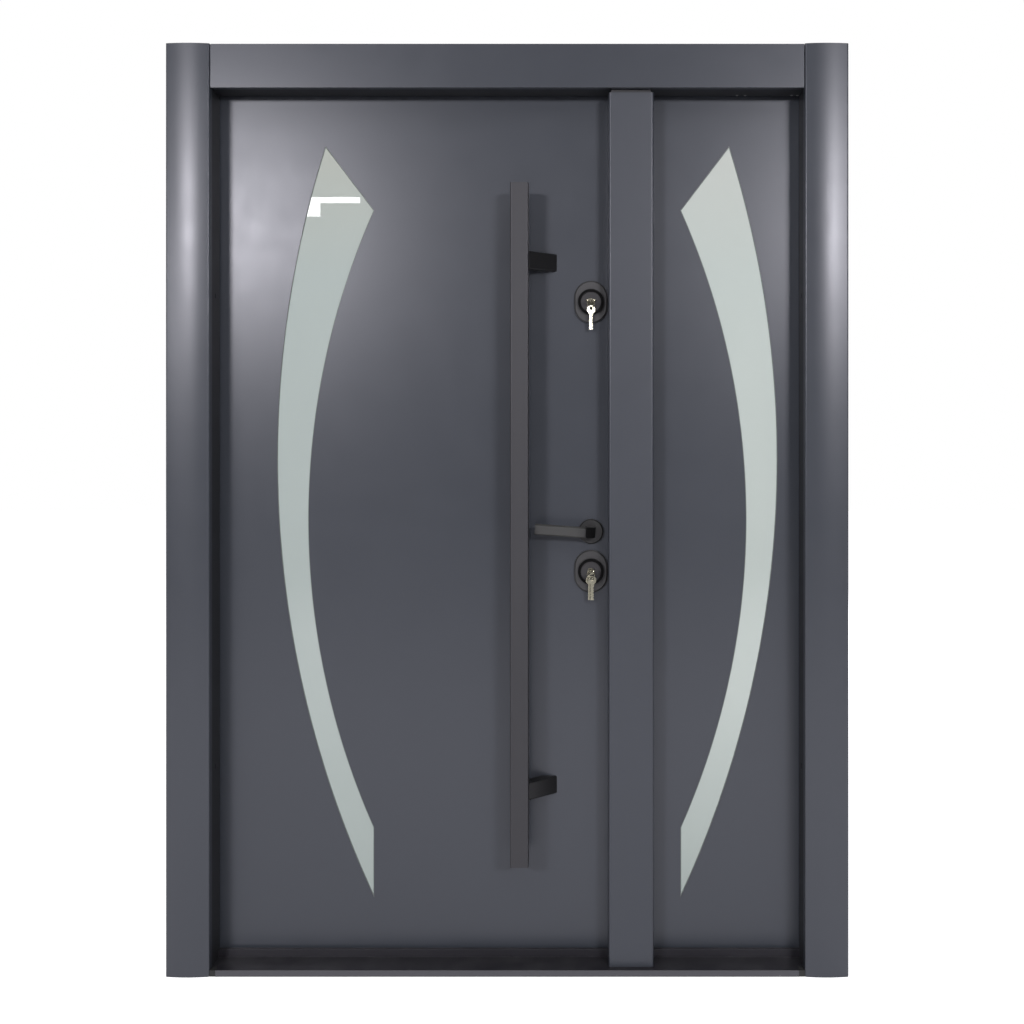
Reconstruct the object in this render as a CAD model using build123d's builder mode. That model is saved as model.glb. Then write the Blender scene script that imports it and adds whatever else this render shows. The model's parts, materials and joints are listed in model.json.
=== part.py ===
from build123d import *
import os
from math import cos, radians, sin

# Frame of reference: X to the right, Y from the street into the house, Z up.
# The origin lies on the underside of the threshold, on the middle of the width, in the wall face.

# Overall size
DOOR_WIDTH = 1500.0
DOOR_HEIGHT = 2050.0
SHEET = 2.0

# Casings on the street side
CASING_WIDTH = 96.0
CASING_EDGE_PROUD = 20.0
CASING_CROWN_PROUD = 24.0
CASING_EDGE_R = 4.0
HEAD_CASING_PROUD = 16.0
CASING_SEAM = 1.0

# Bent sheet frame in the wall
FRAME_DEPTH = 140.0
FRAME_FACE = 60.0
FRAME_RETURN = 18.0
STOP_Y = 57.0
STOP_WIDTH = 20.0
ANCHOR_HOLE_R = 5.5
ANCHOR_LOW_Z = 450.0
ANCHOR_TOP_DROP = 454.0
ANCHOR_Y = 28.0

# Leaves
LEAF_FACE_Y = 65.0
LEAF_THICKNESS = 70.0
PANEL = 8.0
LEAF_GAP = 5.0
SEAL_THICKNESS = 3.0
SEAL_WIDTH = 11.0
SEAL_GAP = 2.0

# Threshold
LIP_HEIGHT = 14.0
LIP_CUT_BACK = 13.0
REAR_TREAD = 12.0
UPSTAND_TOP = 32.0
UPSTAND_THICKNESS = 7.0

# Centre post
SIDE_CLEAR_WIDTH = 331.0
POST_WIDTH = 100.0
POST_FRONT_Y = -2.0
POST_EDGE_R = 5.0
POST_TOP_GAP = 7.0
POST_LAP = 15.0
POST_MAIN_CLEARANCE = 10.0
POST_SIDE_CLEARANCE = 15.0
SPIGOT_SIDE_GAP = 4.5
SPIGOT_LENGTH = 150.0
BOLT_SLOT_WIDTH = 22.0
HIGH_BOLT_SLOT = 90.0
LOW_BOLT_SLOT = 70.0
LATCH_SLOT = 32.0

# Crescent glass: reaches are measured out from its straight edge
GLASS_MAIN_INSET = 346.0
GLASS_SIDE_INSET = 266.0
GLASS_TOP_DROP = 114.0
GLASS_BOTTOM_RISE = 148.0
GLASS_TOP_SLANT = 143.0
GLASS_FOOT_EDGE = 152.0
GLASS_TIP_REACH = 108.5
GLASS_INNER_REACH = 148.0
GLASS_OUTER_REACH = 217.0
GLASS_OUTER_SHARE = 0.579
GLASS_THICKNESS = 6.0
GLASS_BEAD = 1.5
GLASS_LEDGE = 10.0

# Hinges on the house side
HINGE_END_INSET = 223.0
HINGE_LENGTH = 120.0
HINGE_SPLIT_GAP = 1.0
HINGE_BARREL_R = 8.0
HINGE_PIN_R = 4.0
HINGE_PIN_FIT = 0.3
HINGE_PIN_SHARE = 0.8
HINGE_CAP_SHARE = 0.1
HINGE_PLATE = 3.0
HINGE_PLATE_WIDTH = 32.0
HINGE_OFFSET = 10.0

# Long pull bar
PULL_FROM_LOCK = 157.0
PULL_SECTION = 40.0
PULL_EDGE_R = 3.0
PULL_LENGTH = 1500.0
PULL_HAND_GAP = 56.0
PULL_ARM_INSET = 160.0
PULL_ARM_HEIGHT = 40.0
PULL_ARM_EDGE_R = 3.0
PULL_ARM_DROP = 5.0
PULL_ARM_FOOT = 40.0
PULL_ARM_SHIFT = 60.0
PULL_ARM_OVERLAP = 32.0

# Lever handle and locks share one vertical line
LOCK_FROM_POST = 39.0
LEVER_Z = 971.0
LOW_LOCK_DROP = 90.0
HIGH_LOCK_Z = 1489.0
ROSE_R = 28.0
ROSE_THICKNESS = 10.0
ROSE_BEVEL = 2.5
LEVER_BEARING_R = 9.7
LEVER_NECK = 20.0
LEVER_NECK_GAP = 1.0
TURNING_FIT = 0.3
LEVER_LENGTH = 125.0
LEVER_HEIGHT = 24.0
LEVER_THICKNESS = 12.0
LEVER_ELBOW = 12.0
LEVER_BEVEL = 3.0
LEVER_STANDOFF = 43.0
LEVER_RISE_DEG = 4.0
SPINDLE = 8.0
SPINDLE_HOLE_R = 11.0

# Oval escutcheons
ESCUTCHEON_WIDTH = 75.0
ESCUTCHEON_HEIGHT = 96.0
ESCUTCHEON_THICKNESS = 8.0
ESCUTCHEON_BEVEL = 3.0
COLLAR_R = 29.0
COLLAR_CORE_R = 23.5
COLLAR_HEIGHT = 9.0
COLLAR_CORE_HEIGHT = 5.0
PLUG_R = 8.0
PLUG_SUNK = 1.0
FACEPLATE_WIDTH = 24.0
FACEPLATE_THICKNESS = 3.0
FACEPLATE_LOW_LENGTH = 320.0
FACEPLATE_HIGH_LENGTH = 160.0

# Keys
KEY_THICKNESS = 2.4
KEY_NECK_R = 3.0
KEY_NECK_LENGTH = 13.0
KEY_BOW_WIDTH = 26.0
KEY_BOW_LENGTH = 22.0
KEY_BOW_CORNER_R = 7.0
KEY_NECK_OVERLAP = 2.0
RING_R = 9.0
RING_WIRE = 1.5
RING_TURN_DEG = -25.0
RING_PLAY = 0.4
SPARE_TURN_DEG = 76.0
SPARE_BOW_R = 9.5
SPARE_HOLE_R = 4.2
SPARE_HOLE_RIM = 1.6
SPARE_HANG = 1.0
SPARE_LENGTH = 54.0
SPARE_BLADE_WIDTH = 8.0
SPARE_CUT_PITCH = 5.5
SPARE_CUTS = (2.4, 1.4, 2.8, 1.8, 2.4)
HIGH_KEY_TURN_DEG = 0.0
LOW_KEY_TURN_DEG = 42.0
HIGH_HANG_DEGS = (-90.0,)
LOW_HANG_DEGS = (-109.0, -71.0)

# Sizes that follow from the ones above
CLEAR_HALF = DOOR_WIDTH / 2 - CASING_WIDTH
SOFFIT_Z = DOOR_HEIGHT - CASING_WIDTH
LEAF_EDGE = CLEAR_HALF + STOP_WIDTH - LEAF_GAP
LEAF_TOP = SOFFIT_Z + STOP_WIDTH - LEAF_GAP
LEAF_BOTTOM = REAR_TREAD + LEAF_GAP
LEAF_BACK_Y = LEAF_FACE_Y + LEAF_THICKNESS
LEAF_MIDDLE_Y = LEAF_FACE_Y + LEAF_THICKNESS / 2
LEAF_MIDDLE_Z = (LEAF_BOTTOM + LEAF_TOP) / 2
POST_RIGHT = CLEAR_HALF - SIDE_CLEAR_WIDTH
POST_LEFT = POST_RIGHT - POST_WIDTH
MAIN_RIGHT = POST_LEFT + POST_LAP
SIDE_LEFT = POST_RIGHT - POST_LAP
CORE_LEFT = MAIN_RIGHT + POST_MAIN_CLEARANCE
CORE_RIGHT = SIDE_LEFT - POST_SIDE_CLEARANCE
HINGE_X = CLEAR_HALF + STOP_WIDTH - LEAF_GAP / 2
HINGE_Y = FRAME_DEPTH + HINGE_OFFSET
BOLT_SLOTS = (
    (HIGH_LOCK_Z, HIGH_BOLT_SLOT),
    (LEVER_Z, LATCH_SLOT),
    (LEVER_Z - LOW_LOCK_DROP - LOW_BOLT_SLOT / 2, LOW_BOLT_SLOT),
)
HINGE_HEIGHTS = (LEAF_BOTTOM + HINGE_END_INSET, LEAF_MIDDLE_Z, LEAF_TOP - HINGE_END_INSET)
ANCHOR_HEIGHTS = (ANCHOR_LOW_Z, SOFFIT_Z - ANCHOR_TOP_DROP)
GLASS_TIP_Z = SOFFIT_Z - GLASS_TOP_DROP
GLASS_TOP_CORNER_Z = GLASS_TIP_Z - GLASS_TOP_SLANT
GLASS_LOW_TIP_Z = GLASS_BOTTOM_RISE
GLASS_LOW_CORNER_Z = GLASS_LOW_TIP_Z + GLASS_FOOT_EDGE
GLASS_INNER_Z = (GLASS_TOP_CORNER_Z + GLASS_LOW_CORNER_Z) / 2
GLASS_OUTER_Z = GLASS_LOW_TIP_Z + (GLASS_TIP_Z - GLASS_LOW_TIP_Z) * GLASS_OUTER_SHARE
LOCK_X = POST_LEFT - LOCK_FROM_POST
LOW_LOCK_Z = LEVER_Z - LOW_LOCK_DROP
LOCK_HEIGHTS = (HIGH_LOCK_Z, LOW_LOCK_Z)
LOW_LOCK_MIDDLE_Z = (LEVER_Z + LOW_LOCK_Z) / 2
FACEPLATE_LOW = (LOW_LOCK_MIDDLE_Z - FACEPLATE_LOW_LENGTH / 2, LOW_LOCK_MIDDLE_Z + FACEPLATE_LOW_LENGTH / 2)
FACEPLATE_HIGH = (HIGH_LOCK_Z - FACEPLATE_HIGH_LENGTH / 2, HIGH_LOCK_Z + FACEPLATE_HIGH_LENGTH / 2)
PULL_X = LOCK_X - PULL_FROM_LOCK
PULL_BACK_Y = LEAF_FACE_Y - PULL_HAND_GAP
PULL_BOTTOM_Z = LEAF_MIDDLE_Z - PULL_LENGTH / 2
PULL_ARM_REACH = PULL_LENGTH / 2 - PULL_ARM_INSET
COLLAR_BASE_Y = LEAF_FACE_Y - ESCUTCHEON_THICKNESS
PLUG_FACE_Y = COLLAR_BASE_Y - COLLAR_HEIGHT + PLUG_SUNK

os.makedirs("parts", exist_ok=True)


def save(block, name):
    """Names a finished piece and writes it to its own file."""
    block.part.label = name
    export_step(block.part, "parts/" + name + ".step")


def frame_section():
    """Bent sheet section of the frame: distance from the clear opening across, depth into the wall up."""
    outer = [
        (FRAME_FACE, 0),
        (0, 0),
        (0, STOP_Y),
        (STOP_WIDTH, STOP_Y),
        (STOP_WIDTH, FRAME_DEPTH),
        (FRAME_FACE, FRAME_DEPTH),
        (FRAME_FACE, FRAME_DEPTH - FRAME_RETURN),
    ]
    inner = [
        (FRAME_FACE - SHEET, FRAME_DEPTH - FRAME_RETURN),
        (FRAME_FACE - SHEET, FRAME_DEPTH - SHEET),
        (STOP_WIDTH + SHEET, FRAME_DEPTH - SHEET),
        (STOP_WIDTH + SHEET, STOP_Y - SHEET),
        (SHEET, STOP_Y - SHEET),
        (SHEET, SHEET),
        (FRAME_FACE, SHEET),
    ]
    with BuildSketch() as section:
        with BuildLine():
            Polyline(*outer, *inner, close=True)
        make_face()
    return section.sketch


def make_jamb(name, side):
    """One upright of the frame, mitred at the top, with its wall anchor holes."""
    base = Plane(origin=(side * CLEAR_HALF, 0, 0), x_dir=(side, 0, 0), z_dir=(0, 0, side))
    mitre = Plane(origin=(side * CLEAR_HALF, 0, SOFFIT_Z), x_dir=(0, 1, 0), z_dir=(-side, 0, 1))
    with BuildPart() as jamb:
        with BuildSketch(base):
            add(frame_section())
        extrude(amount=SOFFIT_Z + FRAME_FACE, dir=(0, 0, 1))
        split(bisect_by=mitre, keep=Keep.BOTTOM)
        with BuildSketch(Plane(origin=(side * CLEAR_HALF, 0, 0), x_dir=(0, 1, 0), z_dir=(side, 0, 0))):
            with Locations(*[(ANCHOR_Y, side_height) for side_height in anchor_offsets(side)]):
                Circle(ANCHOR_HOLE_R)
        extrude(amount=SHEET, mode=Mode.SUBTRACT)
    save(jamb, name)


def anchor_offsets(side):
    """Heights of the anchor holes in the sketch of one jamb, whose upward axis follows the side."""
    return [side * height for height in ANCHOR_HEIGHTS]


def make_frame_head():
    """Head of the frame between the two mitres."""
    base = Plane(origin=(0, 0, SOFFIT_Z), x_dir=(0, 0, 1), z_dir=(-1, 0, 0))
    with BuildPart() as head:
        with BuildSketch(base):
            add(frame_section())
        extrude(amount=CLEAR_HALF + FRAME_FACE, both=True)
        for side in (-1, 1):
            mitre = Plane(origin=(side * CLEAR_HALF, 0, SOFFIT_Z), x_dir=(0, 1, 0), z_dir=(-side, 0, 1))
            split(bisect_by=mitre, keep=Keep.TOP)
    save(head, "frame_head")


def casing_outline(inset):
    """Gently bowed casing outline with rounded front corners, drawn in from the outside by the inset."""
    inner_front = (inset, inset - CASING_EDGE_PROUD)
    outer_front = (CASING_WIDTH - inset, inset - CASING_EDGE_PROUD)
    with BuildSketch() as outline:
        with BuildLine():
            Line((inset, 0), inner_front)
            ThreePointArc(inner_front, (CASING_WIDTH / 2, inset - CASING_CROWN_PROUD), outer_front)
            Line(outer_front, (CASING_WIDTH - inset, 0))
            Line((CASING_WIDTH - inset, 0), (inset, 0))
        make_face()
        fillet(outline.vertices().group_by(Axis.Y)[0], CASING_EDGE_R - inset)
    return outline.sketch


def make_casing(name, side):
    """One bowed upright casing, a bent sheet that is open to the wall."""
    base = Plane(origin=(side * CLEAR_HALF, 0, 0), x_dir=(side, 0, 0), z_dir=(0, 0, side))
    with BuildPart() as casing:
        with BuildSketch(base):
            add(casing_outline(0))
            add(casing_outline(SHEET), mode=Mode.SUBTRACT)
        extrude(amount=DOOR_HEIGHT, dir=(0, 0, 1))
    save(casing, name)


def make_head_casing():
    """Flat casing over the head, fitted between the upright casings."""
    half = CLEAR_HALF - CASING_SEAM
    with BuildPart() as casing:
        with BuildSketch(Plane.YZ):
            with Locations((-HEAD_CASING_PROUD / 2, SOFFIT_Z + CASING_WIDTH / 2)):
                Rectangle(HEAD_CASING_PROUD, CASING_WIDTH)
            with Locations((-(HEAD_CASING_PROUD - SHEET) / 2, SOFFIT_Z + CASING_WIDTH / 2)):
                Rectangle(HEAD_CASING_PROUD - SHEET, CASING_WIDTH - 2 * SHEET, mode=Mode.SUBTRACT)
        extrude(amount=half, both=True)
    save(casing, "head_casing")


def threshold_section(inset):
    """Closed threshold section, drawn in by the inset: front lip, tread and lower rear tread."""
    front = -CASING_EDGE_PROUD + inset
    with BuildSketch() as section:
        with BuildLine():
            Polyline(
                (front, inset),
                (FRAME_DEPTH - inset, inset),
                (FRAME_DEPTH - inset, REAR_TREAD - inset),
                (STOP_Y - inset, REAR_TREAD - inset),
                (STOP_Y - inset, LIP_HEIGHT - inset),
                (front, LIP_HEIGHT - inset),
                close=True,
            )
        make_face()
    return section.sketch


def make_threshold():
    """Hollow threshold between the jambs, with its lip cut back beside the casings."""
    with BuildPart() as threshold:
        with BuildSketch(Plane.YZ):
            add(threshold_section(0))
            add(threshold_section(SHEET), mode=Mode.SUBTRACT)
        extrude(amount=CLEAR_HALF, both=True)
        for side in (-1, 1):
            with BuildSketch(Plane.XY):
                with Locations((side * (CLEAR_HALF - LIP_CUT_BACK / 2), -CASING_EDGE_PROUD / 2)):
                    Rectangle(LIP_CUT_BACK, CASING_EDGE_PROUD)
            extrude(amount=LIP_HEIGHT, mode=Mode.SUBTRACT)
            with BuildSketch(Plane.XY):
                with Locations((side * (CLEAR_HALF + STOP_WIDTH / 2), (STOP_Y + FRAME_DEPTH) / 2)):
                    Rectangle(STOP_WIDTH, FRAME_DEPTH - STOP_Y)
            extrude(amount=REAR_TREAD)
    save(threshold, "threshold")


def add_bar(x_range, y_range, z_range, mode=Mode.ADD):
    """A square-edged bar between two limits along each axis, added to the open block."""
    with BuildSketch(Plane.XY.offset(z_range[0])) as outline:
        with Locations(((x_range[0] + x_range[1]) / 2, (y_range[0] + y_range[1]) / 2)):
            Rectangle(x_range[1] - x_range[0], y_range[1] - y_range[0])
    extrude(outline.sketch, amount=z_range[1] - z_range[0], mode=mode)


def make_threshold_stop():
    """Upstand of the threshold in front of each leaf, interrupted by the centre post."""
    depth = (STOP_Y - UPSTAND_THICKNESS, STOP_Y)
    height = (LIP_HEIGHT, UPSTAND_TOP)
    with BuildPart() as stop:
        add_bar((-CLEAR_HALF, POST_LEFT), depth, height)
        add_bar((POST_RIGHT, CLEAR_HALF), depth, height)
    save(stop, "threshold_stop")


def make_seal(name, left, right, left_edge, right_edge):
    """Rubber strips on the four stops around one leaf, given the clear opening and the strip places."""
    depth = (STOP_Y, STOP_Y + SEAL_THICKNESS)
    low = UPSTAND_TOP - SEAL_WIDTH - SEAL_GAP
    high = SOFFIT_Z + SEAL_GAP
    with BuildPart() as seal:
        add_bar((left_edge, left_edge + SEAL_WIDTH), depth, (low, SOFFIT_Z - POST_TOP_GAP))
        add_bar((right_edge, right_edge + SEAL_WIDTH), depth, (low, SOFFIT_Z - POST_TOP_GAP))
        add_bar((left + SEAL_GAP, right - SEAL_GAP), depth, (low, low + SEAL_WIDTH))
        add_bar((left + SEAL_GAP, right - SEAL_GAP), depth, (high, high + SEAL_WIDTH))
    save(seal, name)


def make_post():
    """Centre post: hollow cover, spigot that joins it to the head, and the core the bolts enter."""
    with BuildPart() as cover:
        add_bar((POST_LEFT, POST_RIGHT), (POST_FRONT_Y, STOP_Y), (LIP_HEIGHT, SOFFIT_Z - POST_TOP_GAP))
        add_bar(
            (POST_LEFT + SHEET, POST_RIGHT - SHEET),
            (POST_FRONT_Y + SHEET, STOP_Y - SHEET),
            (LIP_HEIGHT, SOFFIT_Z),
            mode=Mode.SUBTRACT,
        )
        fillet(cover.edges().filter_by(Axis.Z).group_by(Axis.Y)[1], POST_EDGE_R - SHEET)
        fillet(cover.edges().filter_by(Axis.Z).group_by(Axis.Y)[0], POST_EDGE_R)
    save(cover, "post_cover")
    with BuildPart() as spigot:
        add_bar(
            (POST_LEFT + SHEET + SPIGOT_SIDE_GAP, POST_RIGHT - SHEET - SPIGOT_SIDE_GAP),
            (POST_FRONT_Y + SHEET + CASING_SEAM, STOP_Y - SHEET - CASING_SEAM),
            (SOFFIT_Z - SPIGOT_LENGTH, SOFFIT_Z),
        )
    save(spigot, "post_spigot")
    with BuildPart() as core:
        add_bar((CORE_LEFT, CORE_RIGHT), (STOP_Y, FRAME_DEPTH), (REAR_TREAD, SOFFIT_Z + STOP_WIDTH))
        add_bar(
            (CORE_LEFT + SHEET, CORE_RIGHT - SHEET),
            (STOP_Y + SHEET, FRAME_DEPTH - SHEET),
            (REAR_TREAD, SOFFIT_Z + STOP_WIDTH),
            mode=Mode.SUBTRACT,
        )
        slot_y = (LEAF_MIDDLE_Y - BOLT_SLOT_WIDTH / 2, LEAF_MIDDLE_Y + BOLT_SLOT_WIDTH / 2)
        for slot_middle, slot_height in BOLT_SLOTS:
            slot_z = (slot_middle - slot_height / 2, slot_middle + slot_height / 2)
            add_bar((CORE_LEFT, CORE_LEFT + SHEET), slot_y, slot_z, mode=Mode.SUBTRACT)
    save(core, "post_core")


def glass_outline(depth_y, edge_x, direction, grow):
    """Crescent with one straight edge, one slanting top and two arcs, grown or shrunk all round."""
    tip = (edge_x + direction * GLASS_TIP_REACH, GLASS_TIP_Z)
    top_corner = (edge_x, GLASS_TOP_CORNER_Z)
    inner_middle = (edge_x + direction * GLASS_INNER_REACH, GLASS_INNER_Z)
    low_corner = (edge_x, GLASS_LOW_CORNER_Z)
    low_tip = (edge_x, GLASS_LOW_TIP_Z)
    outer_middle = (edge_x + direction * GLASS_OUTER_REACH, GLASS_OUTER_Z)
    with BuildSketch(Plane.XZ.offset(-depth_y)) as outline:
        with BuildLine():
            Line(tip, top_corner)
            ThreePointArc(top_corner, inner_middle, low_corner)
            Line(low_corner, low_tip)
            ThreePointArc(low_tip, outer_middle, tip)
        make_face()
        if grow:
            offset(amount=grow, kind=Kind.INTERSECTION, mode=Mode.REPLACE)
    return outline.sketch


def make_leaf(name, left, right, edge_x, direction, has_lock):
    """One leaf: two panels on a core, with a pane of glass let into each panel."""
    core_depth = LEAF_THICKNESS - 2 * PANEL
    layers = (
        ("outer_panel", LEAF_FACE_Y, PANEL, GLASS_BEAD),
        ("core", LEAF_FACE_Y + PANEL, core_depth, -GLASS_LEDGE),
        ("inner_panel", LEAF_BACK_Y - PANEL, PANEL, GLASS_BEAD),
    )
    for layer_name, depth_y, thickness, grow in layers:
        with BuildPart() as layer:
            add_bar((left, right), (depth_y, depth_y + thickness), (LEAF_BOTTOM, LEAF_TOP))
            crescent = glass_outline(depth_y, edge_x, direction, grow)
            extrude(crescent, amount=-thickness, mode=Mode.SUBTRACT)
            if has_lock:
                add_round(LOCK_X, LEVER_Z, (depth_y, depth_y + thickness), SPINDLE_HOLE_R, Mode.SUBTRACT)
            if has_lock and layer_name == "core":
                plate_y = (LEAF_MIDDLE_Y - FACEPLATE_WIDTH / 2, LEAF_MIDDLE_Y + FACEPLATE_WIDTH / 2)
                for plate_z in (FACEPLATE_LOW, FACEPLATE_HIGH):
                    add_bar((right - FACEPLATE_THICKNESS, right), plate_y, plate_z, mode=Mode.SUBTRACT)
        save(layer, name + "_" + layer_name)
    panes = (
        ("outer_glass", LEAF_FACE_Y + PANEL - GLASS_THICKNESS),
        ("inner_glass", LEAF_BACK_Y - PANEL),
    )
    for pane_name, depth_y in panes:
        with BuildPart() as pane:
            extrude(glass_outline(depth_y, edge_x, direction, 0), amount=-GLASS_THICKNESS)
        save(pane, name + "_" + pane_name)


def add_round(x, z, y_range, radius, mode=Mode.ADD):
    """A round bar along the depth of the door between two depths, added to the open block."""
    with BuildSketch(Plane.XZ.offset(-y_range[0])) as outline:
        with Locations((x, z)):
            Circle(radius)
    extrude(outline.sketch, amount=-(y_range[1] - y_range[0]), mode=mode)


def add_upright(x, y, z_range, radius, mode=Mode.ADD):
    """A round upright bar between two heights, added to the open block."""
    with BuildSketch(Plane.XY.offset(z_range[0])) as outline:
        with Locations((x, y)):
            Circle(radius)
    extrude(outline.sketch, amount=z_range[1] - z_range[0], mode=mode)


def make_hinges(name, side):
    """Three lift-off hinges of one leaf: lower halves with pins on the frame, upper halves on the leaf."""
    axis_x = side * HINGE_X
    half = (HINGE_LENGTH - HINGE_SPLIT_GAP) / 2
    frame_x = sorted((side * (CLEAR_HALF + STOP_WIDTH), side * (CLEAR_HALF + STOP_WIDTH + HINGE_PLATE_WIDTH)))
    leaf_x = sorted((side * LEAF_EDGE, side * (LEAF_EDGE - HINGE_PLATE_WIDTH)))
    web_x = sorted((side * (HINGE_X - HINGE_BARREL_R), side * LEAF_EDGE))
    with BuildPart() as frame_halves:
        for height in HINGE_HEIGHTS:
            low = height - HINGE_LENGTH / 2
            add_bar(frame_x, (FRAME_DEPTH, FRAME_DEPTH + HINGE_PLATE), (low, low + half))
            add_upright(axis_x, HINGE_Y, (low, low + half), HINGE_BARREL_R)
            add_upright(axis_x, HINGE_Y, (low + half, low + half + half * HINGE_PIN_SHARE), HINGE_PIN_R)
    save(frame_halves, name + "_hinge_frame_halves")
    with BuildPart() as leaf_halves:
        for height in HINGE_HEIGHTS:
            top = height + HINGE_LENGTH / 2
            add_bar(leaf_x, (LEAF_BACK_Y, LEAF_BACK_Y + HINGE_PLATE), (top - half, top))
            add_bar(web_x, (LEAF_BACK_Y, HINGE_Y), (top - half, top))
            add_upright(axis_x, HINGE_Y, (top - half, top), HINGE_BARREL_R)
            bore = (top - half, top - half * HINGE_CAP_SHARE)
            add_upright(axis_x, HINGE_Y, bore, HINGE_PIN_R + HINGE_PIN_FIT, Mode.SUBTRACT)
    save(leaf_halves, name + "_hinge_leaf_halves")


def make_pull():
    """Long square pull bar on two slanting arms."""
    half = PULL_SECTION / 2
    with BuildPart() as bar:
        add_bar(
            (PULL_X - half, PULL_X + half),
            (PULL_BACK_Y - PULL_SECTION, PULL_BACK_Y),
            (PULL_BOTTOM_Z, PULL_BOTTOM_Z + PULL_LENGTH),
        )
        fillet(bar.edges().filter_by(Axis.Z), PULL_EDGE_R)
    save(bar, "pull_bar")
    foot_right = PULL_X + half + PULL_ARM_SHIFT
    for name, direction in (("upper", 1), ("lower", -1)):
        arm_z = LEAF_MIDDLE_Z - PULL_ARM_DROP + direction * PULL_ARM_REACH
        with BuildPart() as arm:
            with BuildSketch(Plane.XY.offset(arm_z - PULL_ARM_HEIGHT / 2)):
                with BuildLine():
                    Polyline(
                        (foot_right - PULL_ARM_FOOT, LEAF_FACE_Y),
                        (foot_right, LEAF_FACE_Y),
                        (PULL_X + half, PULL_BACK_Y),
                        (PULL_X + half - PULL_ARM_OVERLAP, PULL_BACK_Y),
                        close=True,
                    )
                make_face()
            extrude(amount=PULL_ARM_HEIGHT)
            slanting_edges = arm.edges().filter_by(Axis.Z, reverse=True).filter_by(Axis.X, reverse=True)
            fillet(slanting_edges, PULL_ARM_EDGE_R)
        save(arm, name + "_pull_arm")


def make_lever(name, inward, face_y, with_spindle):
    """One lever: bearing in its rose, square neck, mitred elbow and a flat bar that rises towards its tip."""
    rise = radians(LEVER_RISE_DEG)
    half = LEVER_NECK / 2
    front = LEVER_STANDOFF + LEVER_THICKNESS
    base = ROSE_THICKNESS + LEVER_NECK_GAP
    plan = Plane(
        origin=(LOCK_X, face_y, LEVER_Z),
        x_dir=(-cos(rise), 0, sin(rise)),
        z_dir=(-inward * sin(rise), 0, -inward * cos(rise)),
    )
    with BuildPart() as lever:
        with BuildSketch(plan):
            with BuildLine():
                Polyline(
                    (-half, base),
                    (half, base),
                    (half, LEVER_STANDOFF),
                    (LEVER_LENGTH, LEVER_STANDOFF),
                    (LEVER_LENGTH, front),
                    (LEVER_ELBOW, front),
                    (-half, front - half - LEVER_ELBOW),
                    close=True,
                )
            make_face()
        extrude(amount=LEVER_HEIGHT / 2, both=True)
        front_face = lever.faces().sort_by(Axis.Y)[-1 if inward > 0 else 0]
        chamfer(front_face.edges().sort_by(SortBy.LENGTH)[-2:], LEVER_BEVEL)
        add_round(LOCK_X, LEVER_Z, sorted((face_y, face_y + inward * base)), LEVER_BEARING_R)
        if with_spindle:
            spindle_x = (LOCK_X - SPINDLE / 2, LOCK_X + SPINDLE / 2)
            spindle_z = (LEVER_Z - SPINDLE / 2, LEVER_Z + SPINDLE / 2)
            add_bar(spindle_x, (LEAF_FACE_Y, LEAF_BACK_Y), spindle_z)
    save(lever, name)


def make_lock_plates(name, inward, leaf_y):
    """Bevelled plates on one face of the leaf: oval escutcheons of the locks and round rose of the lever."""
    escutcheon_y = sorted((leaf_y, leaf_y + inward * ESCUTCHEON_THICKNESS))
    bearing_r = LEVER_BEARING_R + TURNING_FIT
    with BuildPart() as plates:
        with BuildSketch(Plane.XZ.offset(-escutcheon_y[0])):
            with Locations(*[(LOCK_X, lock_z) for lock_z in LOCK_HEIGHTS]):
                SlotOverall(ESCUTCHEON_HEIGHT, ESCUTCHEON_WIDTH, rotation=90)
        extrude(amount=-ESCUTCHEON_THICKNESS)
        front_faces = plates.faces().group_by(Axis.Y)[-1 if inward > 0 else 0]
        chamfer([edge for face in front_faces for edge in face.edges()], ESCUTCHEON_BEVEL)
        for lock_z in LOCK_HEIGHTS:
            add_round(LOCK_X, lock_z, escutcheon_y, PLUG_R + TURNING_FIT, Mode.SUBTRACT)
        with BuildSketch(Plane(origin=(LOCK_X, leaf_y, LEVER_Z), x_dir=(1, 0, 0), z_dir=(0, 0, inward))):
            with BuildLine():
                Polyline(
                    (bearing_r, 0),
                    (ROSE_R, 0),
                    (ROSE_R, ROSE_THICKNESS - ROSE_BEVEL),
                    (ROSE_R - ROSE_BEVEL, ROSE_THICKNESS),
                    (bearing_r, ROSE_THICKNESS),
                    close=True,
                )
            make_face()
        revolve(axis=Axis((LOCK_X, leaf_y, LEVER_Z), (0, 1, 0)))
    save(plates, name)


def make_collars():
    """Raised round collar on each outer escutcheon, with a lower core around the plug."""
    front_y = COLLAR_BASE_Y - COLLAR_HEIGHT
    core_y = COLLAR_BASE_Y - COLLAR_CORE_HEIGHT
    with BuildPart() as collars:
        for lock_z in LOCK_HEIGHTS:
            add_round(LOCK_X, lock_z, (front_y, COLLAR_BASE_Y), COLLAR_R)
            add_round(LOCK_X, lock_z, (front_y, core_y), COLLAR_CORE_R, Mode.SUBTRACT)
            add_round(LOCK_X, lock_z, (front_y, COLLAR_BASE_Y), PLUG_R + TURNING_FIT, Mode.SUBTRACT)
    save(collars, "lock_collars")


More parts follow.
